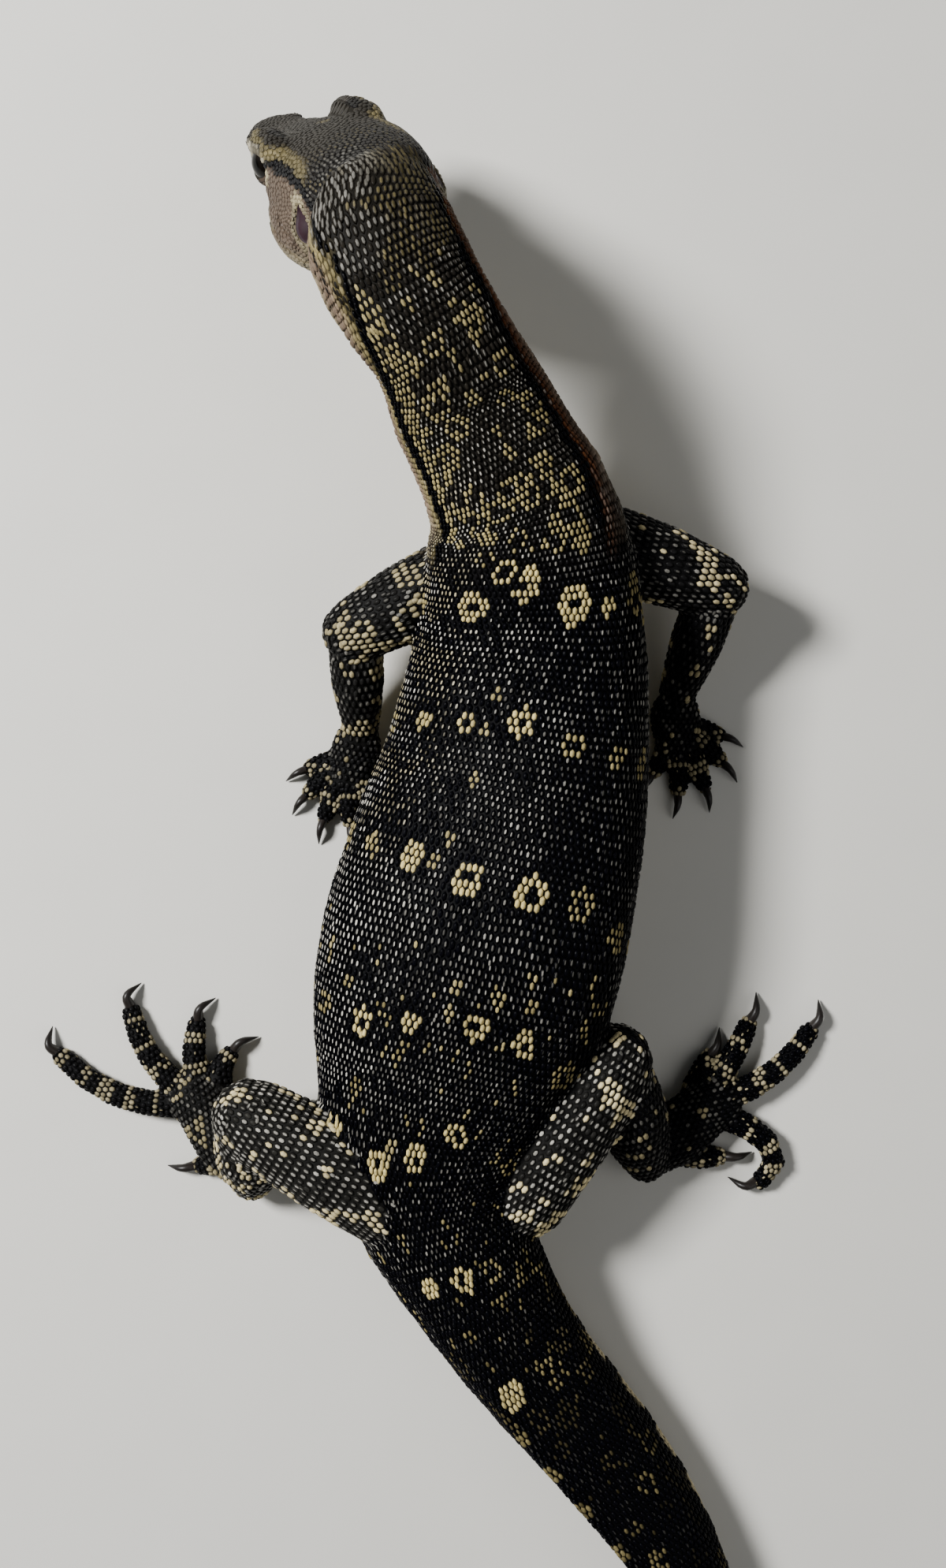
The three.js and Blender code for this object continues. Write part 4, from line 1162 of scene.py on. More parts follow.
def bead_piece(name, beads, shape, height, material):
    """Joins many scales into one piece with their colours and the map of their places."""
    points, faces, rim_shares = shape
    count, corners = len(beads["centre"]), len(points)
    across = np.cross(beads["along"], beads["normal"])
    half_length, half_width = beads["half"].T
    heights = height * beads["swell"]
    placed = (
        beads["centre"][:, None]
        + (points[:, 0] * half_width[:, None])[..., None] * across[:, None]
        + (points[:, 1] * half_length[:, None])[..., None] * beads["along"][:, None]
        + (points[:, 2] * heights[:, None])[..., None] * beads["normal"][:, None]
    )
    placed[..., 2] = np.maximum(placed[..., 2], FLOOR_GAP)
    sizes = np.array([len(face) for face in faces])
    flat = np.concatenate(faces)
    loops = (flat[None] + corners * np.arange(count)[:, None]).ravel()
    mesh = bpy.data.meshes.new(name)
    mesh.vertices.add(count * corners)
    mesh.vertices.foreach_set("co", to_part(placed.reshape(-1, 3)).ravel())
    mesh.loops.add(len(loops))
    mesh.loops.foreach_set("vertex_index", loops)
    mesh.polygons.add(count * len(faces))
    starts = np.concatenate([[0], np.cumsum(np.tile(sizes, count))[:-1]])
    mesh.polygons.foreach_set("loop_start", starts)
    mesh.update(calc_edges=True)

    for label in ("ground", "pale"):
        values = np.column_stack([beads[label], np.ones(count)])
        attribute = mesh.attributes.new(label, "FLOAT_COLOR", "POINT")
        attribute.data.foreach_set("color", np.repeat(values, corners, axis=0).ravel())
    for label, values in (
        ("rim", np.tile(rim_shares, count)),
        ("fleck", np.repeat(beads["fleck"], corners)),
    ):
        attribute = mesh.attributes.new(label, "FLOAT", "POINT")
        attribute.data.foreach_set("value", values)

    plan = beads["plan"] - beads["plan"].min(axis=0)
    plan = 0.01 + plan * (0.98 - 2 * PATCH) / max(plan.max(), 1e-6)
    spots = plan[:, None] + PATCH * points[None, :, :2]
    uv = mesh.uv_layers.new(name="OFBake")
    uv.data.foreach_set("uv", spots.reshape(-1, 2)[loops].ravel())
    add_piece(mesh, material)


def side_by_side(layouts):
    """Sets the plans of several layouts next to each other and joins them, to share one map."""
    edge = 0
    for layout in layouts:
        low = layout["plan"].min(axis=0)
        layout["plan"] = layout["plan"] - low + [edge, 0]
        edge = layout["plan"][:, 0].max() + 2
    return joined(layouts)


# Pieces


def mesh_from(bm, name):
    """Ends a bmesh as a mesh."""
    mesh = bpy.data.meshes.new(name)
    bm.to_mesh(mesh)
    bm.free()
    return mesh


def add_piece(mesh, material):
    """A smooth piece of the model, named as its mesh is."""
    mesh.shade_smooth()
    mesh.materials.append(material)
    piece = bpy.data.objects.new(mesh.name, mesh)
    bpy.context.scene.collection.objects.link(piece)
    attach(piece, "root")
    return piece


# Materials


def feed(tree, made, inputs):
    """Gives each input of a node a value, or joins another node's output to it."""
    for key, value in inputs.items():
        if isinstance(value, bpy.types.NodeSocket):
            tree.links.new(value, made.inputs[key])
        else:
            made.inputs[key].default_value = value


def node(tree, kind, inputs=None, **settings):
    """Adds a node with its fields and inputs."""
    made = tree.nodes.new(kind)
    for key, value in settings.items():
        setattr(made, key, value)
    feed(tree, made, inputs or {})
    return made


def remapped(tree, value, source=(0, 1), target=(0, 1), curve="LINEAR"):
    """A value carried from one range to another."""
    inputs = dict(zip(("From Min", "From Max", "To Min", "To Max"), (*source, *target)), Value=value)
    return node(tree, "ShaderNodeMapRange", inputs, interpolation_type=curve).outputs[0]


def maths(tree, operation, first, second):
    return node(tree, "ShaderNodeMath", {0: first, 1: second}, operation=operation).outputs[0]


def blended(tree, share, first, second):
    """One colour passing to another."""
    inputs = {"Factor": share, "A": first, "B": second}
    return node(tree, "ShaderNodeMix", inputs, data_type="RGBA").outputs["Result"]


def dimmed(tree, tint, share):
    """A colour times a number."""
    return node(tree, "ShaderNodeVectorMath", {0: tint, "Scale": share}, operation="SCALE").outputs[0]


def own_place(tree):
    return node(tree, "ShaderNodeTexCoord").outputs["Object"]


def grained(tree, scale, detail):
    """Noise in the model's own frame."""
    inputs = {"Vector": own_place(tree), "Scale": scale, "Detail": detail}
    return node(tree, "ShaderNodeTexNoise", inputs).outputs["Fac"]


def measured(tree, name, output="Fac"):
    """An attribute of the mesh."""
    return node(tree, "ShaderNodeAttribute", attribute_name=name).outputs[output]


def opaque(tint, share=1.0):
    """A colour times a share, with its alpha."""
    return (*[share * value for value in tint], 1)


def new_material(name):
    material = bpy.data.materials.new(name)
    material.use_nodes = True
    return material, material.node_tree


def finished(material, looks, bump=None):
    """Gives the shader its inputs, and a bump of the given height, depth and strength."""
    tree = material.node_tree
    if bump:
        inputs = dict(zip(("Height", "Distance", "Strength"), bump))
        looks = dict(looks, Normal=node(tree, "ShaderNodeBump", inputs).outputs["Normal"])
    feed(tree, tree.nodes["Principled BSDF"], looks)
    return material


def scale_pattern():
    """Node group: a pale fleck in the middle of each scale, and a dark rim round it, painted shade where
    each scale meets the skin and its neighbours.
    """
    group = bpy.data.node_groups.get("scale_pattern")
    if group:
        return group
    group = bpy.data.node_groups.new("scale_pattern", "ShaderNodeTree")
    for label, default in (
        ("Ground", (0, 0, 0, 1)),
        ("Pale", (1, 1, 1, 1)),
        ("Rim", 0.0),
        ("Fleck", 0.0),
        ("Rim Shade", 0.5),
    ):
        kind = "NodeSocketColor" if isinstance(default, tuple) else "NodeSocketFloat"
        group.interface.new_socket(label, in_out="INPUT", socket_type=kind).default_value = default
    for label, kind in (("Color", "Color"), ("Fleck Mask", "Float"), ("Grain", "Float")):
        group.interface.new_socket(label, in_out="OUTPUT", socket_type=f"NodeSocket{kind}")

    given = group.nodes.new("NodeGroupInput").outputs
    grain = grained(group, 2600, 3)
    ragged = maths(group, "ADD", given["Rim"], remapped(group, grain, target=(-0.12, 0.12)))
    left = maths(group, "SUBTRACT", given["Fleck"], ragged)
    mask = remapped(group, left, (-0.06, 0.12), curve="SMOOTHSTEP")
    mottle = remapped(group, grain, (0.3, 0.7), (0.72, 1.2))
    # Painted shade: darker towards each scale's base
    rim = remapped(group, given["Rim"], (0.6, 1.0), (1.0, given["Rim Shade"]))
    tint = blended(group, mask, given["Ground"], given["Pale"])
    tint = dimmed(group, tint, maths(group, "MULTIPLY", rim, mottle))
    result = {"Color": tint, "Fleck Mask": mask, "Grain": grain}
    feed(group, group.nodes.new("NodeGroupOutput"), result)
    return group


def scale_material(name, rim_shade, roughness, specular):
    """Scales or plates: colour from each one's attributes, satin, with a fine grain."""
    material, tree = new_material(name)
    inputs = {label.title(): measured(tree, label, "Color") for label in ("ground", "pale")}
    inputs.update({label.title(): measured(tree, label) for label in ("rim", "fleck")})
    inputs["Rim Shade"] = rim_shade
    pattern = node(tree, "ShaderNodeGroup", node_tree=scale_pattern())
    feed(tree, pattern, inputs)
    rough = remapped(tree, pattern.outputs["Fleck Mask"], target=(roughness, roughness + 0.16))
    looks = {"Base Color": pattern.outputs["Color"], "Roughness": rough, "Specular IOR Level": specular}
    return finished(material, looks, (pattern.outputs["Grain"], 0.00006, 0.5))


def skin_material():
    """Bare skin between the scales: the same markings, darker and matt, with painted shade in its fine
    creases.
    """
    material, tree = new_material("skin_between_scales")
    cells = node(tree, "ShaderNodeTexVoronoi", {"Vector": own_place(tree), "Scale": 1500})
    creases = cells.outputs["Distance"]
    # Painted shade: darker along the fine creases
    shade = remapped(tree, creases, (0, 0.6), (1.05, 0.75))
    tint = dimmed(tree, measured(tree, "ground", "Color"), shade)
    looks = {"Base Color": tint, "Roughness": 0.6, "Specular IOR Level": 0.05}
    return finished(material, looks, (creases, 0.00012, 0.6))


def eye_material():
    """A dark iris with a darker pupil and edge, under a wet coat."""
    group = bpy.context.scene.monitor_eyes
    material, tree = new_material("wet_eye")
    gaze = measured(tree, "gaze")
    iris = blended(tree, grained(tree, 1800, 4), opaque(group.iris, 0.35), opaque(group.iris))
    inside = remapped(tree, gaze, (group.pupil, group.pupil + 0.12), curve="SMOOTHSTEP")
    outside = remapped(tree, gaze, (0.8, 1.05), (1, 0.15), curve="SMOOTHSTEP")
    looks = {
        "Base Color": dimmed(tree, iris, maths(tree, "MULTIPLY", inside, outside)),
        "Roughness": 0.3,
        "Specular IOR Level": 0.05,
        "Coat Weight": 0.4,
        "Coat IOR": 1.25,
        "Coat Roughness": 0.03,
    }
    return finished(material, looks)


def claw_material():
    """Dark horn, paler at its root, with fine streaks."""
    group = bpy.context.scene.monitor_claws
    material, tree = new_material("horn")
    streaks = grained(tree, 2200, 3)
    tint = blended(tree, measured(tree, "reach"), opaque(group.root), opaque(group.tip))
    tint = dimmed(tree, tint, remapped(tree, streaks, target=(0.7, 1.3)))
    looks = {"Base Color": tint, "Roughness": 0.4, "Specular IOR Level": 0.25}
    return finished(material, looks, (streaks, 0.00005, 0.4))


def ear_material():
    """A thin, dark, faintly folded skin."""
    tone = bpy.context.scene.monitor_colours.ear
    material, tree = new_material("eardrum")
    folds = grained(tree, 900, 2)
    tint = blended(tree, folds, opaque(tone, 0.5), opaque(tone))
    looks = {"Base Color": tint, "Roughness": 0.6, "Specular IOR Level": 0.15}
    return finished(material, looks, (folds, 0.0001, 0.4))


# Skin

FLESH = [name for name in frame["nodes"] if "eye" not in name and "claw" not in name]


def apply_modifiers(piece):
    """Turns what the modifiers show into the piece's own mesh."""
    bpy.context.view_layer.update()
    graph = bpy.context.evaluated_depsgraph_get()
    finished = bpy.data.meshes.new_from_object(piece.evaluated_get(graph))
    piece.modifiers.clear()
    old = piece.data
    piece.data = finished
    bpy.data.meshes.remove(old)


def flesh_copies(swell):
    """All flesh parts in one mesh, each grown a little, with both eye sockets filled."""
    bm = bmesh.new()
    for name in FLESH:
        part = bmesh.new()
        part.from_mesh(frame["nodes"][name].data)
        bmesh.ops.remove_doubles(part, verts=part.verts, dist=1e-6)
        bmesh.ops.recalc_face_normals(part, faces=part.faces)
        part.normal_update()
        for vertex in part.verts:
            vertex.co += vertex.normal * swell
        mesh = mesh_from(part, "part")
        bm.from_mesh(mesh)
        bpy.data.meshes.remove(mesh)
    radius = bpy.context.scene.monitor_eyes.radius
    for side in (-1, 1):
        centre = to_part(from_head(EYE_PLACE * [side, 1, 1]))
        bmesh.ops.create_uvsphere(
            bm, u_segments=24, v_segments=16, radius=radius + 0.2 * MM, matrix=Matrix.Translation(centre)
        )
    return mesh_from(bm, "skin")


def directions(mesh, field="normal"):
    """The normals of a mesh's corners, or another of their fields."""
    values = np.empty(len(mesh.vertices) * 3)
    mesh.vertices.foreach_get(field, values)
    return values.reshape(-1, 3)


def coordinates(mesh):
    return from_part(directions(mesh, "co"))


def move_to(mesh, world):
    """Puts a mesh's corners at the given places."""
    mesh.vertices.foreach_set("co", to_part(world).ravel())
    mesh.update()


def largest_shell(bm):
    """Deletes every loose shell but the largest."""
    unseen = set(bm.verts)
    shells = []
    while unseen:
        stack = [unseen.pop()]
        shell = list(stack)
        while stack:
            for edge in stack.pop().link_edges:
                for vertex in edge.verts:
                    if vertex in unseen:
                        unseen.remove(vertex)
                        stack.append(vertex)
                        shell.append(vertex)
        shells.append(shell)
    shells.sort(key=len)
    for shell in shells[:-1]:
        bmesh.ops.delete(bm, geom=shell, context="VERTS")


def head_share(points):
    """1 on the head, passing to 0 on the neck behind it."""
    return smooth_step(-13, -8, to_head(points)[:, 1]) * (points[:, 1] > AHEAD)


def sculpt_head(mesh):
    """Presses the mouth, nostrils and ears into the skin, draws the lids over the eyes and folds it."""
    settings = bpy.context.scene.monitor_skin
    world = coordinates(mesh)
    normals = directions(mesh)
    on_head = head_share(world) > 0
    points = to_head(world)
    x, y, z = points.T
    push = np.zeros(len(points))

    push -= settings.lip_groove / MM * hump(z, mouth_height(y), 0.28) * smooth_step(5.5, 8.5, y)
    for side in (-1, 1):
        gap = np.linalg.norm((points - NOSTRIL_PLACE * [side, 1, 1]) / [1.2, 1.1, 0.7], axis=1)
        push -= settings.nostril_depth / MM * smooth_step(1, 0.3, gap)
        push += 0.2 * hump(gap, 1.35, 0.3)
    for depth, width, line, start, end in HEAD_FOLDS:
        push -= depth * hump(z, np.interp(y, *line), width) * smooth_step(*start, y) * smooth_step(*end, y)
    soft = lattice_noise(np.column_stack([x, y / 5, z * 1.3]), 1.4, 71) - 0.5
    push += 0.35 * soft * smooth_step(2, -2, y) * smooth_step(1, -2, z)
    for side in (-1, 1):
        share = ear_share(points, side)
        inward = -EAR["depth"] * smooth_step(1.08, 0.84, share)
        inward += 0.16 * hump(share, 1.28, 0.16)
        points = points + inward[:, None] * [side, 0, 0]
    world = np.where(on_head[:, None], from_head(points) + push[:, None] * normals, world)

    # Eyes: the skin sinks behind the eyeball inside the opening and hugs it as thin lids outside
    points = to_head(world)
    radius = bpy.context.scene.monitor_eyes.radius / MM
    for side in (-1, 1):
        centre = EYE_PLACE * [side, 1, 1]
        away = points - centre
        far = np.linalg.norm(away, axis=1)
        share = opening_share(points, side)
        upper = smooth_step(-0.15, 0.5, (away[:, 2] + 0.35 * away[:, 1]) / far)
        swelling = LID["lower"] + (LID["upper"] - LID["lower"]) * upper
        swelling = swelling * smooth_step(1.02, 1.4, share)
        lid = radius + LID["thickness"] + swelling
        hug = smooth_step(1.95, 1.25, share) * smooth_step(radius + 2.6, radius + 1.3, far)
        target = far * (1 - hug) + lid * hug
        target += 0.1 * hump(share, 1.1, 0.08) - 0.14 * hump(share, 1.3, 0.07)
        target = np.where(share > 1, np.maximum(target, radius + LID["thickness"] * 0.7), target)
        sunk = smooth_step(1.04, 0.9, share)
        target = target * (1 - sunk) + (radius - 0.4) * sunk
        points = np.where((share < 2.4)[:, None], centre + away * (target / far)[:, None], points)
    move_to(mesh, np.where(on_head[:, None], from_head(points), world))


def fold_skin(mesh):
    """Soft lengthwise folds along the sides of the neck and the flanks."""
    depth = bpy.context.scene.monitor_skin.fold_depth / MM
    world = coordinates(mesh)
    distance, angle = BODY.place(world)
    on_body = np.linalg.norm(world - BODY.section(distance, angle), axis=1) < 1.6
    on_body &= head_share(world) < 0.5
    around = angle * np.interp(distance, [0, 50, 100, 165, 300], [9, 10, 19, 14, 6])
    turned = np.abs(angle)
    neck = smooth_step(3, 9, distance) * smooth_step(56, 40, distance)
    neck = neck * smooth_step(0.9, 1.5, turned) * smooth_step(3.0, 2.5, turned)
    folds = lattice_noise(np.column_stack([distance / 6, around]), 1.5, 41) - 0.5
    flank = smooth_step(58, 70, distance) * smooth_step(162, 148, distance)
    flank = flank * smooth_step(0.9, 1.3, turned) * smooth_step(2.2, 1.8, turned)
    waves = lattice_noise(np.column_stack([distance / 4, around]), 2.4, 42) - 0.5
    push = 1.4 * depth * folds * neck + 2 * depth * waves * flank
    move_to(mesh, world + np.where(on_body, push, 0)[:, None] * directions(mesh))


def build_skin():
    """One closed skin over all the flesh, coarse under the scales and fine on the head."""
    settings = bpy.context.scene.monitor_skin
    skin = bpy.data.objects.new("skin", flesh_copies(settings.swell))
    bpy.context.scene.collection.objects.link(skin)
    remesh = skin.modifiers.new("join", "REMESH")
    remesh.mode = "VOXEL"
    remesh.voxel_size = settings.voxel
    apply_modifiers(skin)

    bm = bmesh.new()
    bm.from_mesh(skin.data)
    largest_shell(bm)
    bm.to_mesh(skin.data)
    bm.free()

    points = coordinates(skin.data)
    share = head_share(points)
    body = skin.vertex_groups.new(name="body")
    head = skin.vertex_groups.new(name="head")
    indices = np.arange(len(points))
    body.add(indices[share < 0.5].tolist(), 1.0, "REPLACE")
    head.add(indices[share >= 0.5].tolist(), 1.0, "REPLACE")
    nape = skin.vertex_groups.new(name="nape")
    joint = smooth_step(6.5, 3, np.abs(to_head(points)[:, 1] - HEAD_BACK)) * (points[:, 1] > AHEAD)
    for weight in (0.25, 0.5, 0.75, 1.0):
        nape.add(indices[np.abs(joint - weight) <= 0.125].tolist(), weight, "REPLACE")
    for group, passes in (
        (body, settings.smoothing),
        (head, settings.head_smoothing),
        (nape, settings.nape_smoothing),
    ):
        smooth = skin.modifiers.new("smooth", "SMOOTH")
        smooth.factor = 0.5
        smooth.iterations = passes
        smooth.vertex_group = group.name
    fewer = skin.modifiers.new("fewer", "DECIMATE")
    fewer.ratio = settings.share_kept
    fewer.vertex_group = body.name
    fewer.vertex_group_factor = 1
    apply_modifiers(skin)

    bm = bmesh.new()
    bm.from_mesh(skin.data)
    fine = head_share(from_part([vertex.co[:] for vertex in bm.verts])) > 0.2
    edges = [edge for edge in bm.edges if all(fine[vertex.index] for vertex in edge.verts)]
    bmesh.ops.subdivide_edges(bm, edges=edges, cuts=1, use_grid_fill=True, smooth=0)
    bmesh.ops.triangulate(bm, faces=[face for face in bm.faces if len(face.verts) > 4])
    fine = head_share(from_part([vertex.co[:] for vertex in bm.verts])) > 0.2
    head_verts = [vertex for vertex, on in zip(bm.verts, fine) if on]
    for _ in range(2):
        bmesh.ops.smooth_vert(
            bm, verts=head_verts, factor=0.5, use_axis_x=True, use_axis_y=True, use_axis_z=True
        )
    bmesh.ops.recalc_face_normals(bm, faces=bm.faces)
    bm.to_mesh(skin.data)
    bm.free()
    fold_skin(skin.data)
    sculpt_head(skin.data)
    flatten_underside(skin.data)
    skin.data.shade_smooth()
    skin.data.materials.clear()
    skin.data.materials.append(skin_material())
    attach(skin, "root")
    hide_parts(*FLESH)
    return skin


def flatten_underside(mesh):
    """Keeps the skin above the floor that it rests on."""
    world = coordinates(mesh)
    world[:, 2] = np.maximum(world[:, 2], SKIN_GAP)
    move_to(mesh, world)


def skin_tree():
    """The finished skin, ready for finding places on it."""
    mesh = bpy.data.objects["skin"].data
    mesh.calc_loop_triangles()
    triangles = np.empty(len(mesh.loop_triangles) * 3, np.int32)
    mesh.loop_triangles.foreach_get("vertices", triangles)
    return BVHTree.FromPolygons(coordinates(mesh).tolist(), triangles.reshape(-1, 3).tolist())


# Limbs, fingers and toes


def heading(angle):
    """A level direction at an angle from +X."""
    return np.array([math.cos(math.radians(angle)), math.sin(math.radians(angle)), 0.0])


def limb_path(start, end):
    """A length of a limb, bulging a little upwards."""
    start, end = np.array(start), np.array(end)
    middle = (start + end) / 2
    middle[2] += np.linalg.norm(end - start) * LIMB_BULGE
    return [start, middle, end]


def flat_path(joint, centre, half_width):
    """From the wrist or ankle through the middle of the hand or foot, and on a little."""
    joint, centre = np.array(joint), np.array(centre)
    onward = unit((centre - joint) * [1, 1, 0])
    return [joint, centre, centre + onward * half_width * 0.5]


def digit_path(x, y, start, turn, gather, reach, radii):
    """A digit's path over the floor, turning up to its tip."""
    points = []
    place = np.array([x, y, 0.0])
    for i in range(DIGIT["steps"] + 1):
        share = i / DIGIT["steps"]
        radius = radii[0] + (radii[1] - radii[0]) * share
        lift = radius - DIGIT["sink"] + math.sin(share * math.pi) * radius * DIGIT["arch"]
        points.append(place + [0, 0, lift])
        step = heading(start + turn * ((i + 0.5) / DIGIT["steps"]) ** gather)
        place = place + step * reach / DIGIT["steps"]
    return points


def digits_of(kind, side):
    """Each finger's or toe's path, and the headings of its claw's root and point."""
    found = []
    if kind == "hand":
        arm = ARMS[side]
        palm = np.array(arm["joints"][3])
        for angle, reach in zip(arm["spread"], FINGER_LENGTHS):
            x, y, _ = palm + heading(angle) * FLATS["hand"][0] * FINGER_ROOT
            path = digit_path(x, y, angle, arm["bend"], 1, reach, RADII["finger"])
            end = angle + arm["bend"]
            found.append((path, end, end + arm["hook"]))
    else:
        for x, y, start, turn, gather, reach, hook in LEGS[side]["toes"]:
            path = digit_path(x, y, start, turn, gather, reach, RADII["toe"])
            found.append((path, start + turn, start + turn + hook))
    return found


def limb_layouts(side, tree, pitch, digit_pitch):
    """Scales of one side's arm and leg: each length, then the hand or foot, then its digits."""
    found = {}
    for joints, lengths in (
        (LEGS[side]["joints"], ("thigh", "shin")),
        (ARMS[side]["joints"], ("upper_arm", "forearm")),
    ):
        for i, name in enumerate(lengths):
            path = limb_path(joints[i], joints[i + 1])
            layout = tube_layout(path, RADII[name], pitch, stretch=LIMB_STRETCH)
            found[f"{name}_{side}"] = settle(layout, tree, 1.0)
    for kind, joints, far in (
        ("foot", LEGS[side]["joints"], "shin"),
        ("hand", ARMS[side]["joints"], "forearm"),
    ):
        half_width, half_height = FLATS[kind]
        radii = [RADII[far][-1], half_width, half_width * 0.8]
        path = flat_path(joints[2], joints[3], half_width)
        layout = tube_layout(path, radii, pitch, half_height / half_width)
        found[f"{kind}_{side}"] = settle(layout, tree, 1.2)
        digits = []
        for number, (path, _, _) in enumerate(digits_of(kind, side)):
            radii = RADII["finger" if kind == "hand" else "toe"]
            layout = tube_layout(path, radii, digit_pitch, caps=(False, True), number=number)
            digits.append(settle(layout, tree, 0.8))
        found[f"{kind}_digits_{side}"] = side_by_side(digits)
    return found


# Looks of the limbs' parts: share of large pale scales, greyness and brightness of the pale ones; greyness
# and brightness also paint light and shade: the lit left leg and right thigh greyer and brighter, the shaded
# right shin and foot darker
LIMB_LOOKS = {
    "leg_left": {
        "thigh": (0.24, 1, 1),
        "shin": (0.24, 0.9, 1),
        "foot": (0.2, 0.5, 0.4),
        "foot_digits": (0.92, 0.15, 0.5),
    },
    "leg_right": {
        "thigh": (0.2, 0.7, 1.3),
        "shin": (0.05, 0.1, 0.5),
        "foot": (0.05, 0.1, 0.4),
        "foot_digits": (0.9, 0, 0.6),
    },
    "arm_left": {
        "upper_arm": (0.32, 0.5, 0.6),
        "forearm": (0.27, 0.5, 0.55),
        "hand": (0.1, 0.3, 0.45),
        "hand_digits": (0.85, 0.1, 0.5),
    },
    "arm_right": {
        "upper_arm": (0.15, 0.3, 0.9),
        "forearm": (0.1, 0.2, 0.6),
        "hand": (0.06, 0.1, 0.5),
        "hand_digits": (0.85, 0, 0.5),
    },
}


def horn(bm, path, radii, sides=10, rings=9):
    """A curved, pointed horn: a circle drawn out along the path, then closed at its point."""
    curve = catmull_rom(path, steps=12)
    places = np.linspace(0, 1, len(curve))
    stops = np.linspace(0, 1, rings + 1)
    centres = columns_at(places, curve, stops)
    girths = np.interp(stops, np.linspace(0, 1, len(radii)), radii)
    made = bmesh.ops.create_circle(bm, cap_ends=True, segments=sides, radius=1)["verts"]
    shape = np.array([vertex.co[:] for vertex in made])
    ring = made
    for i, (centre, girth) in enumerate(zip(centres, girths)):
        if i:
            edges = [edge for edge in bm.edges if all(vertex in ring for vertex in edge.verts)]
            drawn = bmesh.ops.extrude_edge_only(bm, edges=edges)["geom"]
            drawn = [item for item in drawn if isinstance(item, bmesh.types.BMVert)]
            order = {tuple(np.round(vertex.co, 9)): k for k, vertex in enumerate(ring)}
            ring = sorted(drawn, key=lambda vertex: order[tuple(np.round(vertex.co, 9))])
        forward = unit(centres[min(i + 1, rings)] - centres[max(i - 1, 0)])
        right = unit(np.cross(forward, [0, 0, 1]))
        up = np.cross(right, forward)
        for vertex, (across, above, _) in zip(ring, shape):
            vertex.co = to_part(centre + girth * (across * right * HORN["narrowing"] + above * up))
    bmesh.ops.contextual_create(bm, geom=ring)


def build_claws(kind, side, material):
    """The five claws of one hand or foot."""
    reach, girth = CLAWS[kind]
    bm = bmesh.new()
    layer = bm.verts.layers.float.new("reach")
    for path, start, end in digits_of(kind, side):
        known = set(bm.verts)
        root = path[-1] + heading(start) * (RADII["finger" if kind == "hand" else "toe"][1] * 0.55)
        middle = root + heading(start) * reach * 0.42 + [0, 0, 0.75]
        point = middle + heading(end) * reach * 0.62
        point[2] = CLAW_GAP
        horn(bm, [root, middle, point], [*(girth * share for share in HORN["shares"]), HORN["point"]])
        for vertex in set(bm.verts) - known:
            gap = np.linalg.norm(from_part(vertex.co) - root)
            vertex[layer] = min(1.0, gap / reach)
    bmesh.ops.recalc_face_normals(bm, faces=bm.faces)
    piece = add_piece(mesh_from(bm, f"claws_{kind}_{side}"), material)
    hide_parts(*[f"{kind}_{side}_claw_{i}" for i in range(1, 6)])


# Operators


def marked(beads, marks, rng, *details):
    """A layout with its markings, and with small differences in size and height."""
    ground, pale, fleck, height = marks(beads, rng, *details)
    count = len(fleck)
    larger = np.where(fleck > 0.85, 1.05, 1.0) * rng.normal(1, 0.035, count)
    half = beads["half"] * larger[:, None]
    swell = height * np.clip(rng.normal(1, 0.09, count), 0.75, 1.25)
    return dict(beads, half=half, swell=swell, ground=ground, pale=pale, fleck=fleck)


class MONITOR_OT_skin(Operator):
    """Joins the flesh into one skin and shapes the lids, mouth and nostrils in it"""

    bl_idname = "monitor.skin"
    bl_label = "Make skin"

    def execute(self, context):
        build_skin()
        return {"FINISHED"}


class MONITOR_OT_scales(Operator):
    """Covers the skin with scales, laid in staggered rings and coloured by the markings"""

    bl_idname = "monitor.scales"
    bl_label = "Make scales"

    def execute(self, context):
        sizes = context.scene.monitor_scales
        tree = skin_tree()
        rng = np.random.default_rng(11)
        skin_points = coordinates(bpy.data.objects["skin"].data)

        head = settle(head_layout(tree, skin_points, rng), tree, 1.0)
        places = [place for place, _, _ in SPACINGS]
        pitches = [getattr(sizes, f"{part}_pitch") / MM * share for _, part, share in SPACINGS]
        body = settle(body_layout(places, pitches), tree, 0.9)
        body = keep(body, to_head(body["centre"])[:, 1] < HEAD_BACK + 0.2)
        limbs = {}
        for side in ("left", "right"):
            limbs.update(limb_layouts(side, tree, sizes.limb_pitch / MM, sizes.digit_pitch / MM))
        layouts = dict(zip(["head", "body", *limbs], thinned([head, body, *limbs.values()])))
        behind = to_head(skin_points)[:, 1] < HEAD_BACK
        bodily = {name: layout for name, layout in layouts.items() if name != "head"}
        layouts.update(filled(bodily, tree, skin_points[behind | (skin_points[:, 1] < AHEAD)]))

        bead, plate = dome(**BEAD), dome(**PLATE)
        body_look = scale_material("body_scales", rim_shade=0.34, roughness=0.32, specular=0.035)
        head_look = scale_material("head_plates", rim_shade=0.8, roughness=0.5, specular=0.14)
        height = sizes.height / MM
        distance = layouts["body"]["where"][:, 0]
        for name, (start, end) in STRETCHES.items():
            stretch = keep(layouts["body"], (distance >= start) & (distance < end))
            beads = marked(stretch, body_marks, rng)
            bead_piece(f"scales_{name}", beads, bead, height, body_look)
        beads = marked(layouts["head"], head_marks, rng)
        bead_piece("scales_head", beads, plate, sizes.plate_height / MM, head_look)
        for name, parts in LIMB_LOOKS.items():
            found = []
            side = name.split("_")[1]
            for part, look in parts.items():
                marks = digit_marks if "digits" in part else limb_marks
                found.append(marked(layouts[f"{part}_{side}"], marks, rng, *look))
            beads = side_by_side(found)
            bead_piece(f"scales_{name}", beads, bead, height * LIMB_HEIGHT, body_look)
        return {"FINISHED"}


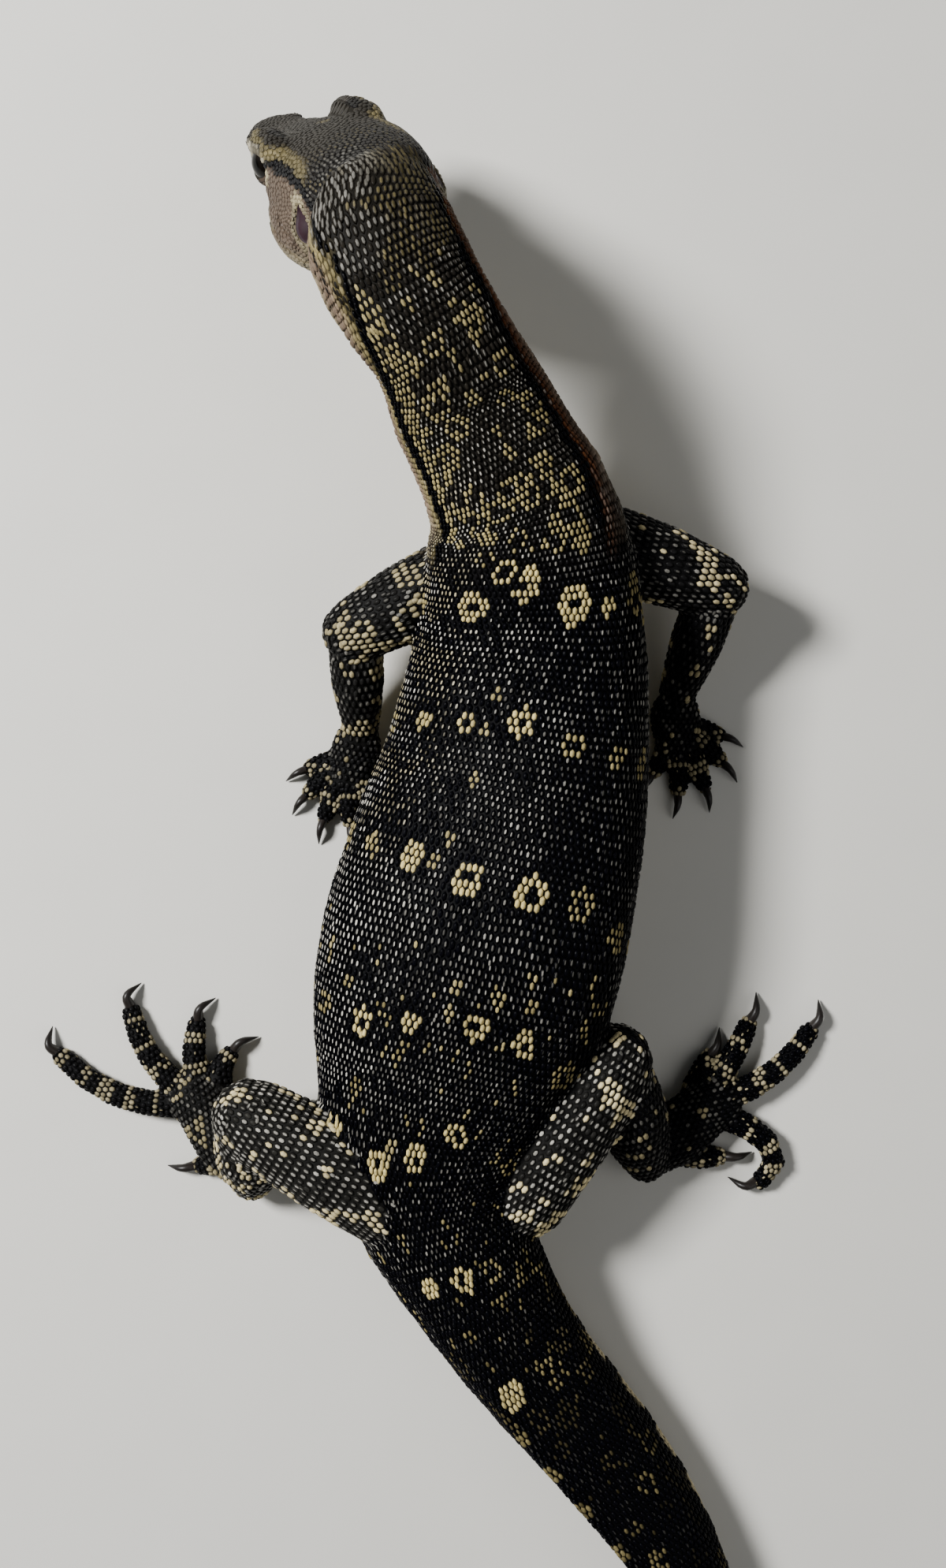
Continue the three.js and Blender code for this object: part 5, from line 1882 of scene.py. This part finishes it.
class MONITOR_OT_tint(Operator):
    """Gives the skin between the scales the ground colour of the scales that grow there"""

    bl_idname = "monitor.tint"
    bl_label = "Tint skin"

    def execute(self, context):
        places, shades = [], []
        for piece in bpy.data.objects:
            if piece.name.startswith("scales_"):
                points = coordinates(piece.data)
                values = np.empty(len(points) * 4)
                piece.data.attributes["ground"].data.foreach_get("color", values)
                places.append(points[::SCALE_CORNERS])
                shades.append(values.reshape(-1, 4)[::SCALE_CORNERS])
        tree = search_tree(np.concatenate(places))
        mesh = bpy.data.objects["skin"].data
        skin_points = coordinates(mesh)
        nearest = [tree.find(point)[1] for point in skin_points]
        found = np.concatenate(shades)[nearest]
        # Painted shade: the skin in the gaps between scales darker than its scales
        found[:, :3] *= np.interp(head_share(skin_points), [0, 1], BARE_SHADE)[:, None]
        attribute = mesh.attributes.new("ground", "FLOAT_COLOR", "POINT")
        attribute.data.foreach_set("color", found.ravel())
        return {"FINISHED"}


class MONITOR_OT_eyes(Operator):
    """Sets a wet eyeball in each socket"""

    bl_idname = "monitor.eyes"
    bl_label = "Make eyes"

    def execute(self, context):
        radius = context.scene.monitor_eyes.radius
        material = eye_material()
        for side, name in ((-1, "left"), (1, "right")):
            bm = bmesh.new()
            bmesh.ops.create_uvsphere(bm, u_segments=40, v_segments=24, radius=radius)
            layer = bm.verts.layers.float.new("gaze")
            gaze = Vector(HEAD_AXES @ unit(GAZE * [side, 1, 1]))
            centre = Vector(to_part(from_head(EYE_PLACE * [side, 1, 1])))
            for vertex in bm.verts:
                angle = vertex.co.angle(gaze)
                vertex[layer] = angle
                vertex.co *= 1 + CORNEA["bulge"] * hump(angle, 0, CORNEA["spread"])
                vertex.co += centre
            piece = add_piece(mesh_from(bm, f"eyeball_{name}"), material)
            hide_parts(f"eye_{name}")
        return {"FINISHED"}


class MONITOR_OT_ears(Operator):
    """Stretches an eardrum in each ear opening"""

    bl_idname = "monitor.ears"
    bl_label = "Make ears"

    def execute(self, context):
        material = ear_material()
        tree = skin_tree()
        for side, name in ((-1, "left"), (1, "right")):
            bm = bmesh.new()
            bmesh.ops.create_uvsphere(bm, u_segments=24, v_segments=12, radius=1)
            inward = Vector(HEAD_AXES @ [-side, 0, 0])
            for vertex in bm.verts:
                x, y, z = vertex.co
                tall = z * EAR["half_height"]
                beside = y * EAR["half_width"] - EAR["lean"] * tall
                start = from_head(EAR_PLACE * [side, 1, 1] + [side * 6, beside, tall])
                floor = tree.ray_cast(Vector(start), inward)[0]
                vertex.co = to_part(np.array(floor - inward * (0.05 + 0.22 * x * side)))
            bmesh.ops.recalc_face_normals(bm, faces=bm.faces)
            add_piece(mesh_from(bm, f"eardrum_{name}"), material)
        return {"FINISHED"}


class MONITOR_OT_claws(Operator):
    """Draws out the claws of the hands and feet"""

    bl_idname = "monitor.claws"
    bl_label = "Make claws"

    def execute(self, context):
        material = claw_material()
        for side in ("left", "right"):
            for kind in ("hand", "foot"):
                build_claws(kind, side, material)
        return {"FINISHED"}


class MONITOR_OT_stage(Operator):
    """Lays the floor, hangs the lights and sets the camera over the back"""

    bl_idname = "monitor.stage"
    bl_label = "Make stage"

    def execute(self, context):
        settings = context.scene.monitor_stage
        scene = context.scene
        bm = bmesh.new()
        bmesh.ops.create_grid(bm, x_segments=1, y_segments=1, size=FLOOR_SIZE)
        floor = bpy.data.objects.new("floor", mesh_from(bm, "floor"))
        scene.collection.objects.link(floor)
        material, tree = new_material("pale_floor")
        tint = blended(tree, grained(tree, 60, 4), opaque(settings.floor, 0.94), opaque(settings.floor))
        floor.data.materials.append(finished(material, {"Base Color": tint, "Roughness": 0.85}))

        above = Vector(to_part([0, 0, 0]))
        for name, (offset, size) in LIGHTS.items():
            light = bpy.data.lights.new(name, "AREA")
            light.size = size
            light.energy = getattr(settings, f"{name}_power")
            lamp = bpy.data.objects.new(name, light)
            scene.collection.objects.link(lamp)
            lamp.location = above + Vector(offset)
            lamp.rotation_euler = (-Vector(offset)).to_track_quat("-Z", "Y").to_euler()
        world = bpy.data.worlds.new("studio")
        world.use_nodes = True
        sky = world.node_tree.nodes["Background"]
        feed(world.node_tree, sky, {"Color": (0.9, 0.95, 1.0, 1), "Strength": 0.1})
        scene.world = world

        camera = bpy.data.cameras.new("camera")
        camera.sensor_width = 36
        camera.lens = settings.lens
        camera.clip_start = 0.01
        eye = bpy.data.objects.new("camera", camera)
        scene.collection.objects.link(eye)
        eye.location = (above.x, above.y, settings.camera_height)
        scene.camera = eye
        return {"FINISHED"}


class MONITOR_PT_panel(Panel):
    """Lists what can be made"""

    bl_label = "Water monitor"
    bl_idname = "MONITOR_PT_panel"
    bl_space_type = "VIEW_3D"
    bl_region_type = "UI"
    bl_category = "Monitor"

    def draw(self, context):
        for step in STEPS:
            self.layout.operator(step.bl_idname)
        for name, group in GROUPS.items():
            settings = getattr(context.scene, name)
            box = self.layout.box()
            box.label(text=group.__doc__)
            for key in group.__annotations__:
                box.prop(settings, key)


GROUPS = {
    "monitor_skin": SkinSettings,
    "monitor_scales": ScaleSettings,
    "monitor_colours": ColourSettings,
    "monitor_eyes": EyeSettings,
    "monitor_claws": ClawSettings,
    "monitor_stage": StageSettings,
}
STEPS = (
    MONITOR_OT_skin,
    MONITOR_OT_scales,
    MONITOR_OT_tint,
    MONITOR_OT_eyes,
    MONITOR_OT_ears,
    MONITOR_OT_claws,
    MONITOR_OT_stage,
)


def register():
    for group in GROUPS.values():
        bpy.utils.register_class(group)
    for name, group in GROUPS.items():
        setattr(bpy.types.Scene, name, PointerProperty(type=group))
    for step in (*STEPS, MONITOR_PT_panel):
        bpy.utils.register_class(step)


def unregister():
    for step in (MONITOR_PT_panel, *reversed(STEPS)):
        bpy.utils.unregister_class(step)
    for name, group in GROUPS.items():
        delattr(bpy.types.Scene, name)
        bpy.utils.unregister_class(group)


def main():
    register()
    for step in STEPS:
        family, action = step.bl_idname.split(".")
        getattr(getattr(bpy.ops, family), action)()


if __name__ == "__main__":
    main()
